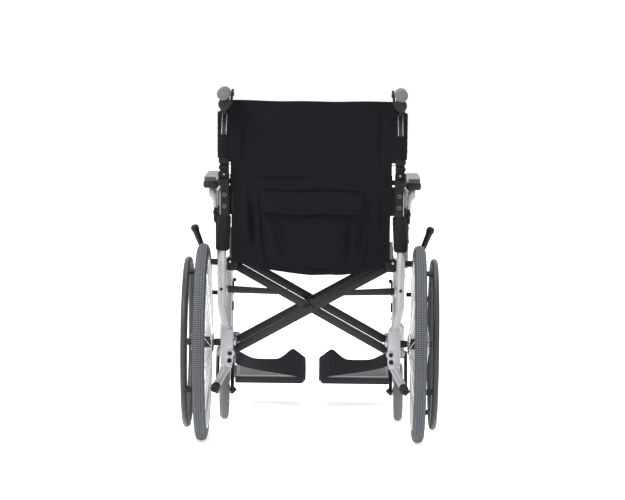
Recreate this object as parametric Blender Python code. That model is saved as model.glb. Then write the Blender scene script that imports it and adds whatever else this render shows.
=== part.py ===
"""Folding wheelchair on four wheels, in metres: +X is the sitter's right, +Y is forward and +Z is up.

Right-hand pieces are modelled about the rear axle line, where y is 0, and mirrored to the left.
The whole chair then hangs from one empty, which puts its origin on the floor under its middle.
"""

from math import acos, atan2, cos, pi, radians, sin, sqrt, tan

import bmesh
import bpy
from mathutils import Matrix, Vector

GAP = 0.0004  # clearance that seated faces keep
SIDES = 10  # sides of a frame tube
SMALL_SIDES = 8  # sides of a thin rod
TURN = 36  # steps of a rear wheel
SMALL_TURN = 16  # steps of a castor

# Frame tubes
TUBE = 0.0125  # radius of the side frame tubes
FRAME_X = 0.2365  # rails and front uprights
BLOCK_X = 0.2225  # foot of the rear upright, in the axle block
POST_X = 0.2315  # rear upright at the back hinge
LOWER_RAIL_Z = 0.236
UPPER_RAIL_Z = 0.445
FRONT_Y = 0.395  # front upright
FRONT_BEND = 0.06

# Back
BACK_TILT = radians(7)
TILT_Z = 0.48  # height at which the uprights start to lean back
HINGE_Z = 0.716  # along the leaning upright
UPRIGHT_TOP = 0.665
HINGE_HALF = 0.0158  # half width of a hinge block
HINGE_DEEP = 0.018  # half depth of a hinge block
HINGE_LOW = 0.604
HINGE_HIGH = 0.756
HINGE_BACK = 0.020  # distance of the hinge pin behind the upright's centre
KNUCKLE = 0.008
HINGE_PIN = 0.003
HANDLE_Z = 0.928
HANDLE_END = -0.185
HANDLE_BEND = 0.03
HANDLE_X = 0.230
GRIP_RADIUS = 0.0165
GRIP_START = -0.088
GRIP_END = -0.192

# Rear wheels
TYRE_RADIUS = 0.2625
TYRE_HALF = 0.0185
RIM_RADIUS = TYRE_RADIUS - 0.032
RIM_INNER = RIM_RADIUS - 0.014
RIM_HALF = 0.0125
WHEEL_X = 0.287
HUB_HALF = 0.030
HUB_RADIUS = 0.015
FLANGE_RADIUS = 0.024
FLANGE_X = 0.027
FLANGE_HALF = 0.0018
SPOKES = 28
SPOKE_RADIUS = 0.0011
SPOKE_SWIRL = radians(58)
AXLE_RADIUS = 0.006
HANDRIM_X = 0.326
HANDRIM_RADIUS = RIM_INNER + 0.0015
HANDRIM_TUBE = 0.0095
HANDRIM_TABS = 6
HANDRIM_SIDES = 6

# Axle block
BLOCK_IN = 0.2055
BLOCK_OUT = 0.2395
BLOCK_HALF = 0.019
BLOCK_LOW = LOWER_RAIL_Z - 0.031
SOCKET_Z = TYRE_RADIUS + 0.0125  # foot of the upright, above the axle
BLOCK_HIGH = SOCKET_Z + 0.025
BOSS_END = 0.040
TIP_TUBE = 0.0095
TIP_CAP = 0.0112
TIP_END = (0.2495, -0.105, 0.152)

# Castors
CASTOR_X = 0.243
CASTOR_Y = 0.444
CASTOR_TRAIL = 0.050
CASTOR_RADIUS = 0.0815
CASTOR_TYRE_HALF = 0.0128
CASTOR_RIM = 0.0645
CASTOR_HUB_HALF = 0.0185
CASTOR_BOLT = 0.004
STEM_RADIUS = 0.0068
HOUSING_LOW = 0.190
HOUSING_HIGH = 0.262
HOUSING_RADIUS = 0.0175
CROWN_LOW = 0.170
FORK_INSIDE = 0.020
FORK_PLATE = 0.005

# Cross brace
PIVOT_X = 0.211  # lower pivots, and the seat rails right above them
SEAT_RAIL_Z = 0.470
BRACE_TUBE = 0.011
BRACE_START = BOSS_END + GAP
BRACE_END = 0.385
SEAT_START = 0.030
SEAT_END = 0.430
BAR_HEIGHT = 0.0205
BAR_DROP = 0.003  # how far a bar's middle lies below its bolt
BAR_THICK = 0.012
BAR_SHORT = 0.008  # how far a bar ends before its tubes' centres
BARS_A = (0.050, 0.276)
BARS_B = (0.0645, 0.3075)
PIVOT_PIN = 0.006
PIN_REACH = 0.024
BOLT_RADIUS = 0.004
BOLT_HEAD = 0.0075
HEAD_THICK = 0.006
LINK_X = 0.226  # pins of the links on the side frames
LINK_Z = 0.397
LINK_PIN = 0.004
LINK_HALF = 0.0097
LINK_THICK = 0.005
LINK_LIFT = 0.0015  # from a bar's face to its link
FOLDED = radians(75)

# Footrests
HANGER_Y = 0.437
HANGER_TUBE = 0.011
HANGER_TOP = 0.440
HANGER_KNEE_Y = 0.490
HANGER_FOOT = (0.628, 0.098)
HANGER_BEND = 0.03
REST_LOW = 0.278
REST_HIGH = 0.286
RING_LOW = 0.345
RING_HIGH = 0.360
RING_RADIUS = 0.0175
LATCH_HIGH = 0.377
LATCH_BALL = 0.008
FLIP_X = 0.236
FLIP_Z = 0.0905
FLIP_ROD = 0.0075
PLATE_BACK = 0.648
PLATE_FRONT = 0.785
PLATE_OUT = 0.2235
PLATE_IN = 0.0235
PLATE_HUB = 0.015
PLATE_LOW = 0.066
PLATE_TOP = 0.0882  # at its rear edge
PLATE_RISE = radians(7)  # of the plate towards its front
LOOP_THICK = 0.003

# Armrests
ARM_X = 0.2635
ARM_TUBE = 0.0115
ARM_Z = 0.668
ARM_PIVOT_Y = 0.030
ARM_PIVOT_Z = 0.606
ARM_FLAT_X = 0.2546  # middle of the tube's flattened end, on its pivot
ARM_FRONT_Y = 0.345
ARM_BEND = 0.03
ARM_PIN = 0.003
TONGUE_HALF = 0.0032
EAR_THICK = 0.003
EAR_RADIUS = 0.0115
RECEIVER_TOP = 0.512
PAD_IN = 0.2525
PAD_OUT = 0.2885
PAD_LENGTH = 0.28
PAD_THICK = 0.024
GUARD_THICK = 0.003
GUARD_LOW = 0.516

# Wheel locks
LOCK_Y = 0.235
LOCK_WIDE = 0.027
LOCK_RING = 0.0175
LOCK_OUT = 0.296
LOCK_PIVOT = (0.258, 0.454)
LOCK_BEND = (0.270, 0.478)  # where the handle leaves the lever's plate
LOCK_NECK = (0.3055, 0.276, 0.4985)
LOCK_KNOB = (0.3233, 0.280, 0.543)
KNOB_RADIUS = 0.0112
SHOE_ANGLE = radians(21.7)  # of the shoe bar above the axle's height
SHOE_REACH = TYRE_RADIUS + 0.0222
LOCK_PLATE = 0.005
SHOE_RADIUS = 0.006

# Attendant levers
HOUSE_Z = HANDLE_Z - 0.0325
HOUSE_RADIUS = 0.0145
HANDLE_LEAN = (TILT_Z - HANDLE_Z) * tan(BACK_TILT)  # how far back the post has leaned at its top
HOUSE_START = HANDLE_LEAN - 0.005
HOUSE_END = HANDLE_LEAN - 0.050
LEVER_PIVOT = (HANDLE_LEAN - 0.015, HANDLE_Z - 0.058)
LEVER_TIP = (HANDLE_LEAN - 0.079, HANDLE_Z - 0.116)
LEVER_HALF = 0.0068
LEVER_WALL = 0.0016
LEVER_DEEP = 0.013
LEVER_PIN = 0.0025

# Soft parts
SLEEVE_RADIUS = 0.018
SLEEVE_LOW = 0.510
SLING_X = 0.220
SLING_THICK = 0.008
SLING_SAG = 0.012
SLING_BACK = 0.036
SLING_COLUMNS = 16
SLING_TAUT = 0.35  # share of the sag that the front and rear edges lack
PANEL_X = 0.2125
PANEL_THICK = 0.006
PANEL_BOW = 0.010
PANEL_Y = -0.004
HEM_SIDE = 0.478
HEM_MIDDLE = 0.443
PANEL_TOP = HANDLE_Z - 0.021
POST_SLEEVE = 0.0188  # half the width of the sleeve round a back post
POST_SLEEVE_FLAT = 0.8  # its depth, as a share of its width
POST_SLEEVE_TOP = HANDLE_Z - 0.047
SEAM = 0.0005  # half the gap between the two back panels
SIDE_TAB = (0.612, 0.684)  # where the lower panel is screwed to the hinge bracket
POCKET_HALF = 0.132
POCKET_LOW = 0.467
POCKET_TALL = 0.200
POCKET_PUFF = 0.007

# Worked out from the sizes above
LEAN = (
    Matrix.Translation((0, 0, TILT_Z))
    @ Matrix.Rotation(BACK_TILT, 4, "X")
    @ Matrix.Translation((0, 0, -TILT_Z))
)
HALF_ARM = sqrt(PIVOT_X**2 + ((SEAT_RAIL_Z - LOWER_RAIL_Z) / 2) ** 2)
ARM_ANGLE = atan2((SEAT_RAIL_Z - LOWER_RAIL_Z) / 2, PIVOT_X)
CENTRE_Z = (LOWER_RAIL_Z + SEAT_RAIL_Z) / 2
CASTOR_AXLE_Y = CASTOR_Y - CASTOR_TRAIL
MIDDLE_Y = (PLATE_FRONT - TYRE_RADIUS) / 2
LOCK_SHOE = (SHOE_REACH * cos(SHOE_ANGLE), TYRE_RADIUS + SHOE_REACH * sin(SHOE_ANGLE))

MATERIALS = {  # colour, roughness, metallic
    "silver_paint": ((0.62, 0.63, 0.64), 0.35, 0.7),
    "bright_metal": ((0.75, 0.75, 0.76), 0.2, 1.0),
    "black_coat": ((0.016, 0.016, 0.018), 0.45, 0.0),
    "black_fabric": ((0.016, 0.017, 0.02), 0.9, 0.0),
    "tyre_rubber": ((0.05, 0.05, 0.05), 0.85, 0.0),
    "castor_rubber": ((0.2, 0.2, 0.21), 0.7, 0.0),
    "rim_grey": ((0.14, 0.14, 0.15), 0.4, 0.0),
    "grip_grey": ((0.25, 0.26, 0.27), 0.7, 0.0),
    "plate_grey": ((0.06, 0.06, 0.065), 0.6, 0.0),
}


def bore(radius, sides=SIDES):
    """The radius of a faceted hole whose flats clear a round piece of this radius."""
    return (radius + GAP) / cos(pi / sides)


def lean(x, y, z):
    """A point of the back, given along the leaning upright."""
    return tuple(LEAN @ Vector((x, y, z)))


def arc(centre, radius, start, end, steps):
    """Points on a circle, from one angle to another."""
    angles = [start + (end - start) * i / steps for i in range(steps + 1)]
    return [(centre[0] + radius * cos(a), centre[1] + radius * sin(a)) for a in angles]


def bar_outline(start, start_radius, end, end_radius, steps=5):
    """The outline of a flat bar with a round end about each of two points."""
    along = Vector(end) - Vector(start)
    heading = atan2(along.y, along.x)
    side = acos((start_radius - end_radius) / along.length)
    back = arc(start, start_radius, heading + side, heading + 2 * pi - side, steps)
    return back + arc(end, end_radius, heading - side, heading + side, steps)


def rounded(points, radius, steps=3):
    """A path through these points whose corners are arcs."""
    path = [Vector(points[0])]
    for before, corner, after in zip(points, points[1:], points[2:]):
        corner = Vector(corner)
        back = Vector(before) - corner
        ahead = Vector(after) - corner
        half = back.angle(ahead) / 2
        reach = min(radius / tan(half), 0.45 * back.length, 0.45 * ahead.length)
        back.normalize()
        ahead.normalize()
        centre = corner + (back + ahead).normalized() * reach / cos(half)
        start = corner + back * reach - centre
        end = corner + ahead * reach - centre
        turn = pi - 2 * half
        for i in range(steps + 1):
            share = i / steps
            mix = start * sin((1 - share) * turn) + end * sin(share * turn)
            path.append(centre + mix / sin(turn))
    path.append(Vector(points[-1]))
    return path


def piece_of(bm):
    """A new object that holds this bmesh, with its faces pointing out."""
    bmesh.ops.recalc_face_normals(bm, faces=bm.faces)
    mesh = bpy.data.meshes.new("piece")
    bm.to_mesh(mesh)
    bm.free()
    piece = bpy.data.objects.new("piece", mesh)
    bpy.context.scene.collection.objects.link(piece)
    return piece


def block(low, high, edge=0.0):
    """A box between two corners, with its edges cut back by edge."""
    low = Vector(low)
    high = Vector(high)
    bm = bmesh.new()
    bmesh.ops.create_cube(bm, size=1)
    bmesh.ops.scale(bm, vec=high - low, verts=bm.verts)
    bmesh.ops.translate(bm, vec=(low + high) / 2, verts=bm.verts)
    if edge:
        bmesh.ops.bevel(bm, geom=bm.edges[:], offset=edge, segments=1, affect="EDGES")
    return piece_of(bm)


def rod(start, end, radius, sides=SIDES, end_radius=None):
    """A cylinder or a cone between two points."""
    start = Vector(start)
    end = Vector(end)
    facing = (end - start).to_track_quat("Z", "Y").to_matrix().to_4x4()
    bm = bmesh.new()
    bmesh.ops.create_cone(
        bm,
        cap_ends=True,
        segments=sides,
        radius1=radius,
        radius2=radius if end_radius is None else end_radius,
        depth=(end - start).length,
    )
    bmesh.ops.transform(bm, matrix=Matrix.Translation((start + end) / 2) @ facing, verts=bm.verts)
    return piece_of(bm)


def ball(centre, radius, segments=10):
    """A sphere."""
    bm = bmesh.new()
    bmesh.ops.create_uvsphere(bm, u_segments=segments, v_segments=segments // 2 + 1, radius=radius)
    bmesh.ops.translate(bm, vec=centre, verts=bm.verts)
    return piece_of(bm)


def plate(outline, low, high, across="X"):
    """An outline extruded across one axis: it holds the other two coordinates, in their order."""
    axis = "XYZ".index(across)
    bm = bmesh.new()
    corners = []
    for point in outline:
        place = list(point)
        place.insert(axis, low)
        corners.append(bm.verts.new(place))
    face = bm.faces.new(corners)
    grown = bmesh.ops.extrude_face_region(bm, geom=[face])["geom"]
    shift = Vector((0, 0, 0))
    shift[axis] = high - low
    moved = [part for part in grown if isinstance(part, bmesh.types.BMVert)]
    bmesh.ops.translate(bm, vec=shift, verts=moved)
    return piece_of(bm)


def turned(profile, centre, steps):
    """(distance along X, radius) points turned about a line along X through centre."""
    bm = bmesh.new()
    rim = [bm.verts.new((along, 0, radius)) for along, radius in profile]
    edges = [bm.edges.new(ends) for ends in zip(rim, rim[1:])]
    if profile[0][1] and profile[-1][1]:
        edges.append(bm.edges.new((rim[-1], rim[0])))
    bmesh.ops.spin(bm, geom=rim + edges, cent=(0, 0, 0), axis=(1, 0, 0), angle=2 * pi, steps=steps)
    bmesh.ops.remove_doubles(bm, verts=bm.verts, dist=1e-6)
    bmesh.ops.translate(bm, vec=centre, verts=bm.verts)
    return piece_of(bm)


def tube(path, radius, sides=SIDES):
    """A round bar along a path, with flat ends."""
    curve = bpy.data.curves.new("path", "CURVE")
    curve.dimensions = "3D"
    curve.bevel_depth = radius
    curve.bevel_resolution = (sides - 4) // 2
    curve.use_fill_caps = True
    spline = curve.splines.new("POLY")
    spline.points.add(len(path) - 1)
    for point, place in zip(spline.points, path):
        point.co = (*place, 1)
    guide = bpy.data.objects.new("path", curve)
    bpy.context.scene.collection.objects.link(guide)
    graph = bpy.context.evaluated_depsgraph_get()
    bm = bmesh.new()
    bm.from_mesh(bpy.data.meshes.new_from_object(guide.evaluated_get(graph)))
    bpy.data.objects.remove(guide)
    bmesh.ops.remove_doubles(bm, verts=bm.verts, dist=1e-6)
    return piece_of(bm)


def spread(near, far, columns, rows):
    """A solid between two curved surfaces, each given by a function of u and v from 0 to 1."""
    bm = bmesh.new()
    sheets = []
    for surface in (near, far):
        grid = []
        for i in range(columns + 1):
            grid.append([bm.verts.new(surface(i / columns, j / rows)) for j in range(rows + 1)])
        for line, following in zip(grid, grid[1:]):
            for corners in zip(line, following, following[1:], line[1:]):
                bm.faces.new(corners)
        edge = [grid[i][0] for i in range(columns)] + grid[-1][:-1]
        edge += [grid[i][-1] for i in range(columns, 0, -1)] + grid[0][:0:-1]
        sheets.append(edge)
    for i in range(len(sheets[0])):
        first, second = sheets
        bm.faces.new((first[i - 1], first[i], second[i], second[i - 1]))
    return piece_of(bm)


def raised(surface, shift):
    """The same surface, moved by a vector."""
    return lambda u, v: Vector(surface(u, v)) + Vector(shift)


def together(*pieces):
    """Pieces that don't meet, gathered in one object."""
    bm = bmesh.new()
    for piece in pieces:
        bm.from_mesh(piece.data)
        bpy.data.objects.remove(piece)
    return piece_of(bm)


def combined(base, others, operation):
    for other in others:
        step = base.modifiers.new("step", "BOOLEAN")
        step.solver = "EXACT"
        step.operation = operation
        step.object = other
    bpy.context.view_layer.update()
    graph = bpy.context.evaluated_depsgraph_get()
    bm = bmesh.new()
    bm.from_mesh(bpy.data.meshes.new_from_object(base.evaluated_get(graph)))
    bmesh.ops.remove_doubles(bm, verts=bm.verts, dist=2e-6)
    for used in (base, *others):
        bpy.data.objects.remove(used)
    return piece_of(bm)


def fuse(base, *others):
    return combined(base, others, "UNION")


def carve(base, *others):
    return combined(base, others, "DIFFERENCE")


def moved_by(piece, matrix):
    piece.data.transform(matrix)
    return piece


def mirrored(piece):
    """The same piece on the chair's other side."""
    piece.data.transform(Matrix.Scale(-1, 4, (1, 0, 0)))
    piece.data.flip_normals()
    return piece


def material(name):
    if name in bpy.data.materials:
        return bpy.data.materials[name]
    made = bpy.data.materials.new(name)
    made.use_nodes = True
    colour, roughness, metallic = MATERIALS[name]
    shader = made.node_tree.nodes["Principled BSDF"]
    shader.inputs["Base Color"].default_value = (*colour, 1)
    shader.inputs["Roughness"].default_value = roughness
    shader.inputs["Metallic"].default_value = metallic
    made.diffuse_color = (*colour, 1)
    return made


def settle(piece, name, finish, pivot):
    """Names the piece and puts its origin on its joint's axis."""
    piece.name = name
    piece.data.name = name
    piece.data.transform(Matrix.Translation(-Vector(pivot)))
    piece.data.materials.append(material(finish))
    piece.data.shade_smooth()
    piece.data.set_sharp_from_angle(angle=radians(35))
    piece.location = pivot
    piece.parent = bpy.data.objects["wheelchair"]
    return piece


def pair(name, finish, pivot, piece):
    """The right-hand piece and its mirror image on the left."""
    settle(piece, name + "_r", finish, pivot)
    other = bpy.data.objects.new("piece", piece.data.copy())
    other.data.materials.clear()
    bpy.context.scene.collection.objects.link(other)
    mirrored(moved_by(other, Matrix.Translation(pivot)))
    settle(other, name + "_l", finish, (-pivot[0], pivot[1], pivot[2]))


def upright_path(foot=SOCKET_Z):
    return rounded(
        [
            (BLOCK_X, 0, foot),
            (BLOCK_X, 0, BLOCK_HIGH),
            (FRAME_X, 0, BLOCK_HIGH + 0.060),
            (FRAME_X, 0, TILT_Z),
            lean(FRAME_X, 0, TILT_Z + 0.040),
            lean(POST_X, 0, HINGE_LOW - 0.004),
            lean(POST_X, 0, UPRIGHT_TOP),
        ],
        0.04,
        2,
    )


def side_frame():
    """Welded tubes, the castor housing, the footrest's seat and ring, and the brace's pins."""
    upright = tube(upright_path(), TUBE)
    corner = [
        (FRAME_X, 0, UPPER_RAIL_Z),
        (FRAME_X, FRONT_Y, UPPER_RAIL_Z),
        (FRAME_X, FRONT_Y, LOWER_RAIL_Z),
    ]
    front = tube(rounded(corner, FRONT_BEND, 5), TUBE)
    lower = rod((FRAME_X, BLOCK_HALF + 0.0025, LOWER_RAIL_Z), (FRAME_X, CASTOR_Y, LOWER_RAIL_Z), TUBE)
    housing = rod((CASTOR_X, CASTOR_Y, HOUSING_LOW), (CASTOR_X, CASTOR_Y, HOUSING_HIGH), HOUSING_RADIUS)
    rest = rod((FRAME_X, HANGER_Y, REST_LOW), (FRAME_X, HANGER_Y, REST_HIGH), RING_RADIUS - 0.0015)
    rest_arm = block(
        (FRAME_X - 0.008, FRONT_Y, REST_LOW + 0.0005), (FRAME_X + 0.008, HANGER_Y, REST_HIGH - 0.0005)
    )
    ring = rod((FRAME_X, HANGER_Y, RING_LOW), (FRAME_X, HANGER_Y, RING_HIGH), RING_RADIUS)
    ring_arm = block(
        (FRAME_X - 0.007, FRONT_Y, RING_LOW + 0.001), (FRAME_X + 0.007, HANGER_Y, RING_HIGH - 0.001)
    )
    ear_front = BARS_A[0] + BAR_THICK / 2
    ear = block((LINK_X - 0.004, 0, LINK_Z - 0.011), (FRAME_X, ear_front, LINK_Z + 0.011))
    pin_end = BARS_B[0] + BAR_THICK / 2 + LINK_LIFT + LINK_THICK + 0.002
    link_pin = rod((LINK_X, ear_front - 0.004, LINK_Z), (LINK_X, pin_end, LINK_Z), LINK_PIN, SMALL_SIDES)
    lug = block(
        (PIVOT_X - 0.009, BRACE_END + GAP, LOWER_RAIL_Z - 0.009),
        (FRAME_X, FRONT_Y + 0.006, LOWER_RAIL_Z + 0.009),
    )
    brace_pin = rod(
        (PIVOT_X, FRONT_Y, LOWER_RAIL_Z), (PIVOT_X, BRACE_END - PIN_REACH, LOWER_RAIL_Z), PIVOT_PIN
    )
    receiver = block(
        (FRAME_X + 0.004, ARM_FRONT_Y - 0.013, UPPER_RAIL_Z - 0.012),
        (ARM_X + 0.013, ARM_FRONT_Y + 0.013, RECEIVER_TOP),
        0.002,
    )
    frame = fuse(
        upright,
        front,
        lower,
        housing,
        rest,
        rest_arm,
        ring,
        ring_arm,
        ear,
        link_pin,
        lug,
        brace_pin,
        receiver,
    )
    stem_hole = rod(
        (CASTOR_X, CASTOR_Y, HOUSING_LOW - 0.01), (CASTOR_X, CASTOR_Y, HOUSING_HIGH + 0.01), bore(STEM_RADIUS)
    )
    ring_hole = rod(
        (FRAME_X, HANGER_Y, RING_LOW - 0.01), (FRAME_X, HANGER_Y, RING_HIGH + 0.01), bore(HANGER_TUBE)
    )
    return carve(frame, stem_hole, ring_hole)


def tip_path():
    return rounded(
        [(BLOCK_X, 0, BLOCK_LOW + 0.01), (BLOCK_X + 0.002, -0.005, BLOCK_LOW - 0.01), TIP_END], 0.02, 3
    )


def axle_block():
    """The casting at each rear corner, with the tipping tube and the brace's rear pin."""
    body = block((BLOCK_IN, -BLOCK_HALF, BLOCK_LOW), (BLOCK_OUT, BLOCK_HALF, BLOCK_HIGH), 0.004)
    boss = rod((FRAME_X, BLOCK_HALF - 0.005, LOWER_RAIL_Z), (FRAME_X, BOSS_END, LOWER_RAIL_Z), TUBE + 0.003)
    pin = rod(
        (PIVOT_X, BLOCK_HALF - 0.004, LOWER_RAIL_Z),
        (PIVOT_X, BRACE_START + PIN_REACH, LOWER_RAIL_Z),
        PIVOT_PIN,
    )
    body = fuse(body, boss, pin, tube(tip_path(), TIP_TUBE))
    upright_hole = tube(upright_path(SOCKET_Z - GAP), bore(TUBE))
    rail_hole = rod(
        (FRAME_X, BLOCK_HALF + 0.0025 - GAP, LOWER_RAIL_Z),
        (FRAME_X, BOSS_END + 0.01, LOWER_RAIL_Z),
        bore(TUBE),
    )
    axle_hole = rod((BLOCK_IN - 0.01, 0, TYRE_RADIUS), (BLOCK_OUT + 0.01, 0, TYRE_RADIUS), bore(AXLE_RADIUS))
    screw_hole = rod(
        (PIVOT_X, -BLOCK_HALF - 0.01, LOWER_RAIL_Z), (PIVOT_X, -BLOCK_HALF + 0.006, LOWER_RAIL_Z), 0.0035
    )
    return carve(body, upright_hole, rail_hole, axle_hole, screw_hole)


def tip_cap():
    """The rubber cap on the end of the tipping tube."""
    end = Vector(TIP_END)
    back = (Vector(tip_path()[-2]) - end).normalized()
    body = rod(end + back * 0.030, end - back * 0.003, TIP_CAP)
    nose = rod(end - back * 0.002, end - back * 0.006, TIP_CAP - 0.0005, end_radius=TIP_CAP * 0.8)
    hole = rod(end + back * 0.04, end - back * GAP, bore(TIP_TUBE))
    return carve(fuse(body, nose), hole)


def axle():
    """The bolt through the hub, with its inner nut, spacer and outer cap."""
    hub_in = WHEEL_X - HUB_HALF
    hub_out = WHEEL_X + HUB_HALF
    shank = rod((BLOCK_IN - GAP - 0.001, 0, TYRE_RADIUS), (hub_out + 0.004, 0, TYRE_RADIUS), AXLE_RADIUS)
    nut = rod((BLOCK_IN - GAP - 0.006, 0, TYRE_RADIUS), (BLOCK_IN - GAP, 0, TYRE_RADIUS), 0.009, 6)
    spacer = rod((BLOCK_OUT + GAP, 0, TYRE_RADIUS), (hub_in - GAP, 0, TYRE_RADIUS), 0.009)
    cap = [(hub_out + GAP, 0), (hub_out + GAP, 0.011), (hub_out + 0.009, 0.010), (hub_out + 0.013, 0.006)]
    dome = turned([*cap, (hub_out + 0.014, 0)], (0, 0, TYRE_RADIUS), SIDES)
    return fuse(shank, nut, spacer, dome)


def spoke(number):
    """One spoke: even ones leave the inner flange and odd ones the outer, swirling the other way."""
    side = 1 if number % 2 else -1
    rim_angle = 2 * pi * number / SPOKES
    hub_angle = rim_angle + side * SPOKE_SWIRL
    hub_reach = FLANGE_RADIUS - 0.003
    rim_reach = (RIM_INNER + RIM_RADIUS) / 2 - 0.003
    start = (side * FLANGE_X, hub_reach * sin(hub_angle), hub_reach * cos(hub_angle))
    end = (side * 0.004, rim_reach * sin(rim_angle), rim_reach * cos(rim_angle))
    return rod(start, end, SPOKE_RADIUS, 3)


def wheel():
    """Rim, hub and spokes."""
    lip = RIM_INNER + 0.004
    rim_profile = [
        (-RIM_HALF, RIM_RADIUS),
        (-RIM_HALF, lip),
        (-RIM_HALF * 0.55, RIM_INNER),
        (RIM_HALF * 0.55, RIM_INNER),
        (RIM_HALF, lip),
        (RIM_HALF, RIM_RADIUS),
    ]
    hub_profile = [(-HUB_HALF, bore(AXLE_RADIUS))]
    hub_profile += [(-HUB_HALF, HUB_RADIUS), (-FLANGE_X - FLANGE_HALF, HUB_RADIUS)]
    hub_profile += [(-FLANGE_X - FLANGE_HALF, FLANGE_RADIUS), (-FLANGE_X + FLANGE_HALF, FLANGE_RADIUS)]
    hub_profile += [(-FLANGE_X + FLANGE_HALF, HUB_RADIUS - 0.001)]
    hub_profile += [(-along, radius) for along, radius in reversed(hub_profile)]
    rim = turned(rim_profile, (0, 0, 0), TURN)
    hub = turned(hub_profile, (0, 0, 0), SIDES)
    spokes = together(*[spoke(number) for number in range(SPOKES)])
    whole = fuse(together(rim, hub), spokes)
    return moved_by(whole, Matrix.Translation((WHEEL_X, 0, TYRE_RADIUS)))


def tyre():
    foot = RIM_RADIUS + GAP
    swell = foot + 0.4 * (TYRE_RADIUS - foot)
    shoulder = TYRE_RADIUS - 0.004
    half = [(RIM_HALF + 0.002, foot), (TYRE_HALF, swell), (TYRE_HALF - 0.005, shoulder)]
    profile = half + [(0, TYRE_RADIUS)] + [(-along, radius) for along, radius in reversed(half)]
    return turned(profile, (WHEEL_X, 0, TYRE_RADIUS), TURN)


def handrim():
    """The pushing ring, on tabs that meet the rim's outer face."""
    profile = arc((0, HANDRIM_RADIUS), HANDRIM_TUBE, 0, 2 * pi, HANDRIM_SIDES)[:-1]
    ring = turned(profile, (HANDRIM_X, 0, TYRE_RADIUS), TURN)
    tab_reach = (RIM_INNER + RIM_RADIUS) / 2 - 0.001
    tabs = []
    for number in range(HANDRIM_TABS):
        angle = 2 * pi * (number + 0.5) / HANDRIM_TABS
        y = tab_reach * sin(angle)
        z = TYRE_RADIUS + tab_reach * cos(angle)
        tabs.append(rod((WHEEL_X + RIM_HALF + GAP, y, z), (HANDRIM_X, y, z), 0.004, 6))
    return fuse(ring, together(*tabs))


def castor_fork():
    """Stem, crown and two legs, with the wheel's bolt."""
    crown_high = HOUSING_LOW - GAP
    outside = FORK_INSIDE + FORK_PLATE
    crown = block(
        (CASTOR_X - outside, CASTOR_Y - 0.014, CROWN_LOW),
        (CASTOR_X + outside, CASTOR_Y + 0.016, crown_high),
        0.002,
    )
    stem = rod(
        (CASTOR_X, CASTOR_Y, CROWN_LOW + 0.004), (CASTOR_X, CASTOR_Y, HOUSING_HIGH + 0.004), STEM_RADIUS
    )
    nut = rod(
        (CASTOR_X, CASTOR_Y, HOUSING_HIGH + GAP),
        (CASTOR_X, CASTOR_Y, HOUSING_HIGH + 0.008),
        0.0115,
        end_radius=0.009,
    )
    outline = bar_outline(
        (CASTOR_Y + 0.001, CROWN_LOW + 0.003), 0.0148, (CASTOR_AXLE_Y, CASTOR_RADIUS), 0.011
    )
    legs = []
    for side in (-1, 1):
        near = CASTOR_X + side * (FORK_INSIDE - 0.0001)
        far = CASTOR_X + side * (outside - 0.0001)
        legs.append(plate(outline, min(near, far), max(near, far)))
    bolt = rod(
        (CASTOR_X - outside - 0.009, CASTOR_AXLE_Y, CASTOR_RADIUS),
        (CASTOR_X + outside + 0.009, CASTOR_AXLE_Y, CASTOR_RADIUS),
        CASTOR_BOLT,
    )
    heads = []
    for side in (-1, 1):
        start = (CASTOR_X + side * (outside - 0.001), CASTOR_AXLE_Y, CASTOR_RADIUS)
        end = (CASTOR_X + side * (outside + 0.004), CASTOR_AXLE_Y, CASTOR_RADIUS)
        heads.append(rod(start, end, 0.0075, 6))
    return fuse(crown, stem, nut, *legs, bolt, *heads)


def castor_wheel():
    """A moulded wheel with a pierced web."""
    hole = bore(CASTOR_BOLT, SMALL_TURN)
    half = [
        (CASTOR_HUB_HALF, hole),
        (CASTOR_HUB_HALF, hole + 0.006),
        (0.004, 0.016),
        (0.004, CASTOR_RIM - 0.012),
        (CASTOR_TYRE_HALF - 0.002, CASTOR_RIM - 0.008),
        (CASTOR_TYRE_HALF - 0.002, CASTOR_RIM),
    ]
    profile = half + [(-along, radius) for along, radius in reversed(half)]
    whole = turned(profile, (CASTOR_X, CASTOR_AXLE_Y, CASTOR_RADIUS), SMALL_TURN)
    holes = []
    for number in range(5):
        angle = 2 * pi * number / 5
        y = CASTOR_AXLE_Y + 0.0345 * sin(angle)
        z = CASTOR_RADIUS + 0.0345 * cos(angle)
        holes.append(rod((CASTOR_X - 0.01, y, z), (CASTOR_X + 0.01, y, z), 0.0115, 6))
    return carve(whole, together(*holes))


def castor_tyre():
    foot = CASTOR_RIM + GAP
    half = [
        (CASTOR_TYRE_HALF - 0.001, foot),
        (CASTOR_TYRE_HALF, CASTOR_RADIUS - 0.006),
        (0.008, CASTOR_RADIUS),
    ]
    profile = half + [(-along, radius) for along, radius in reversed(half)]
    return turned(profile, (CASTOR_X, CASTOR_AXLE_Y, CASTOR_RADIUS), SMALL_TURN)


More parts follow.
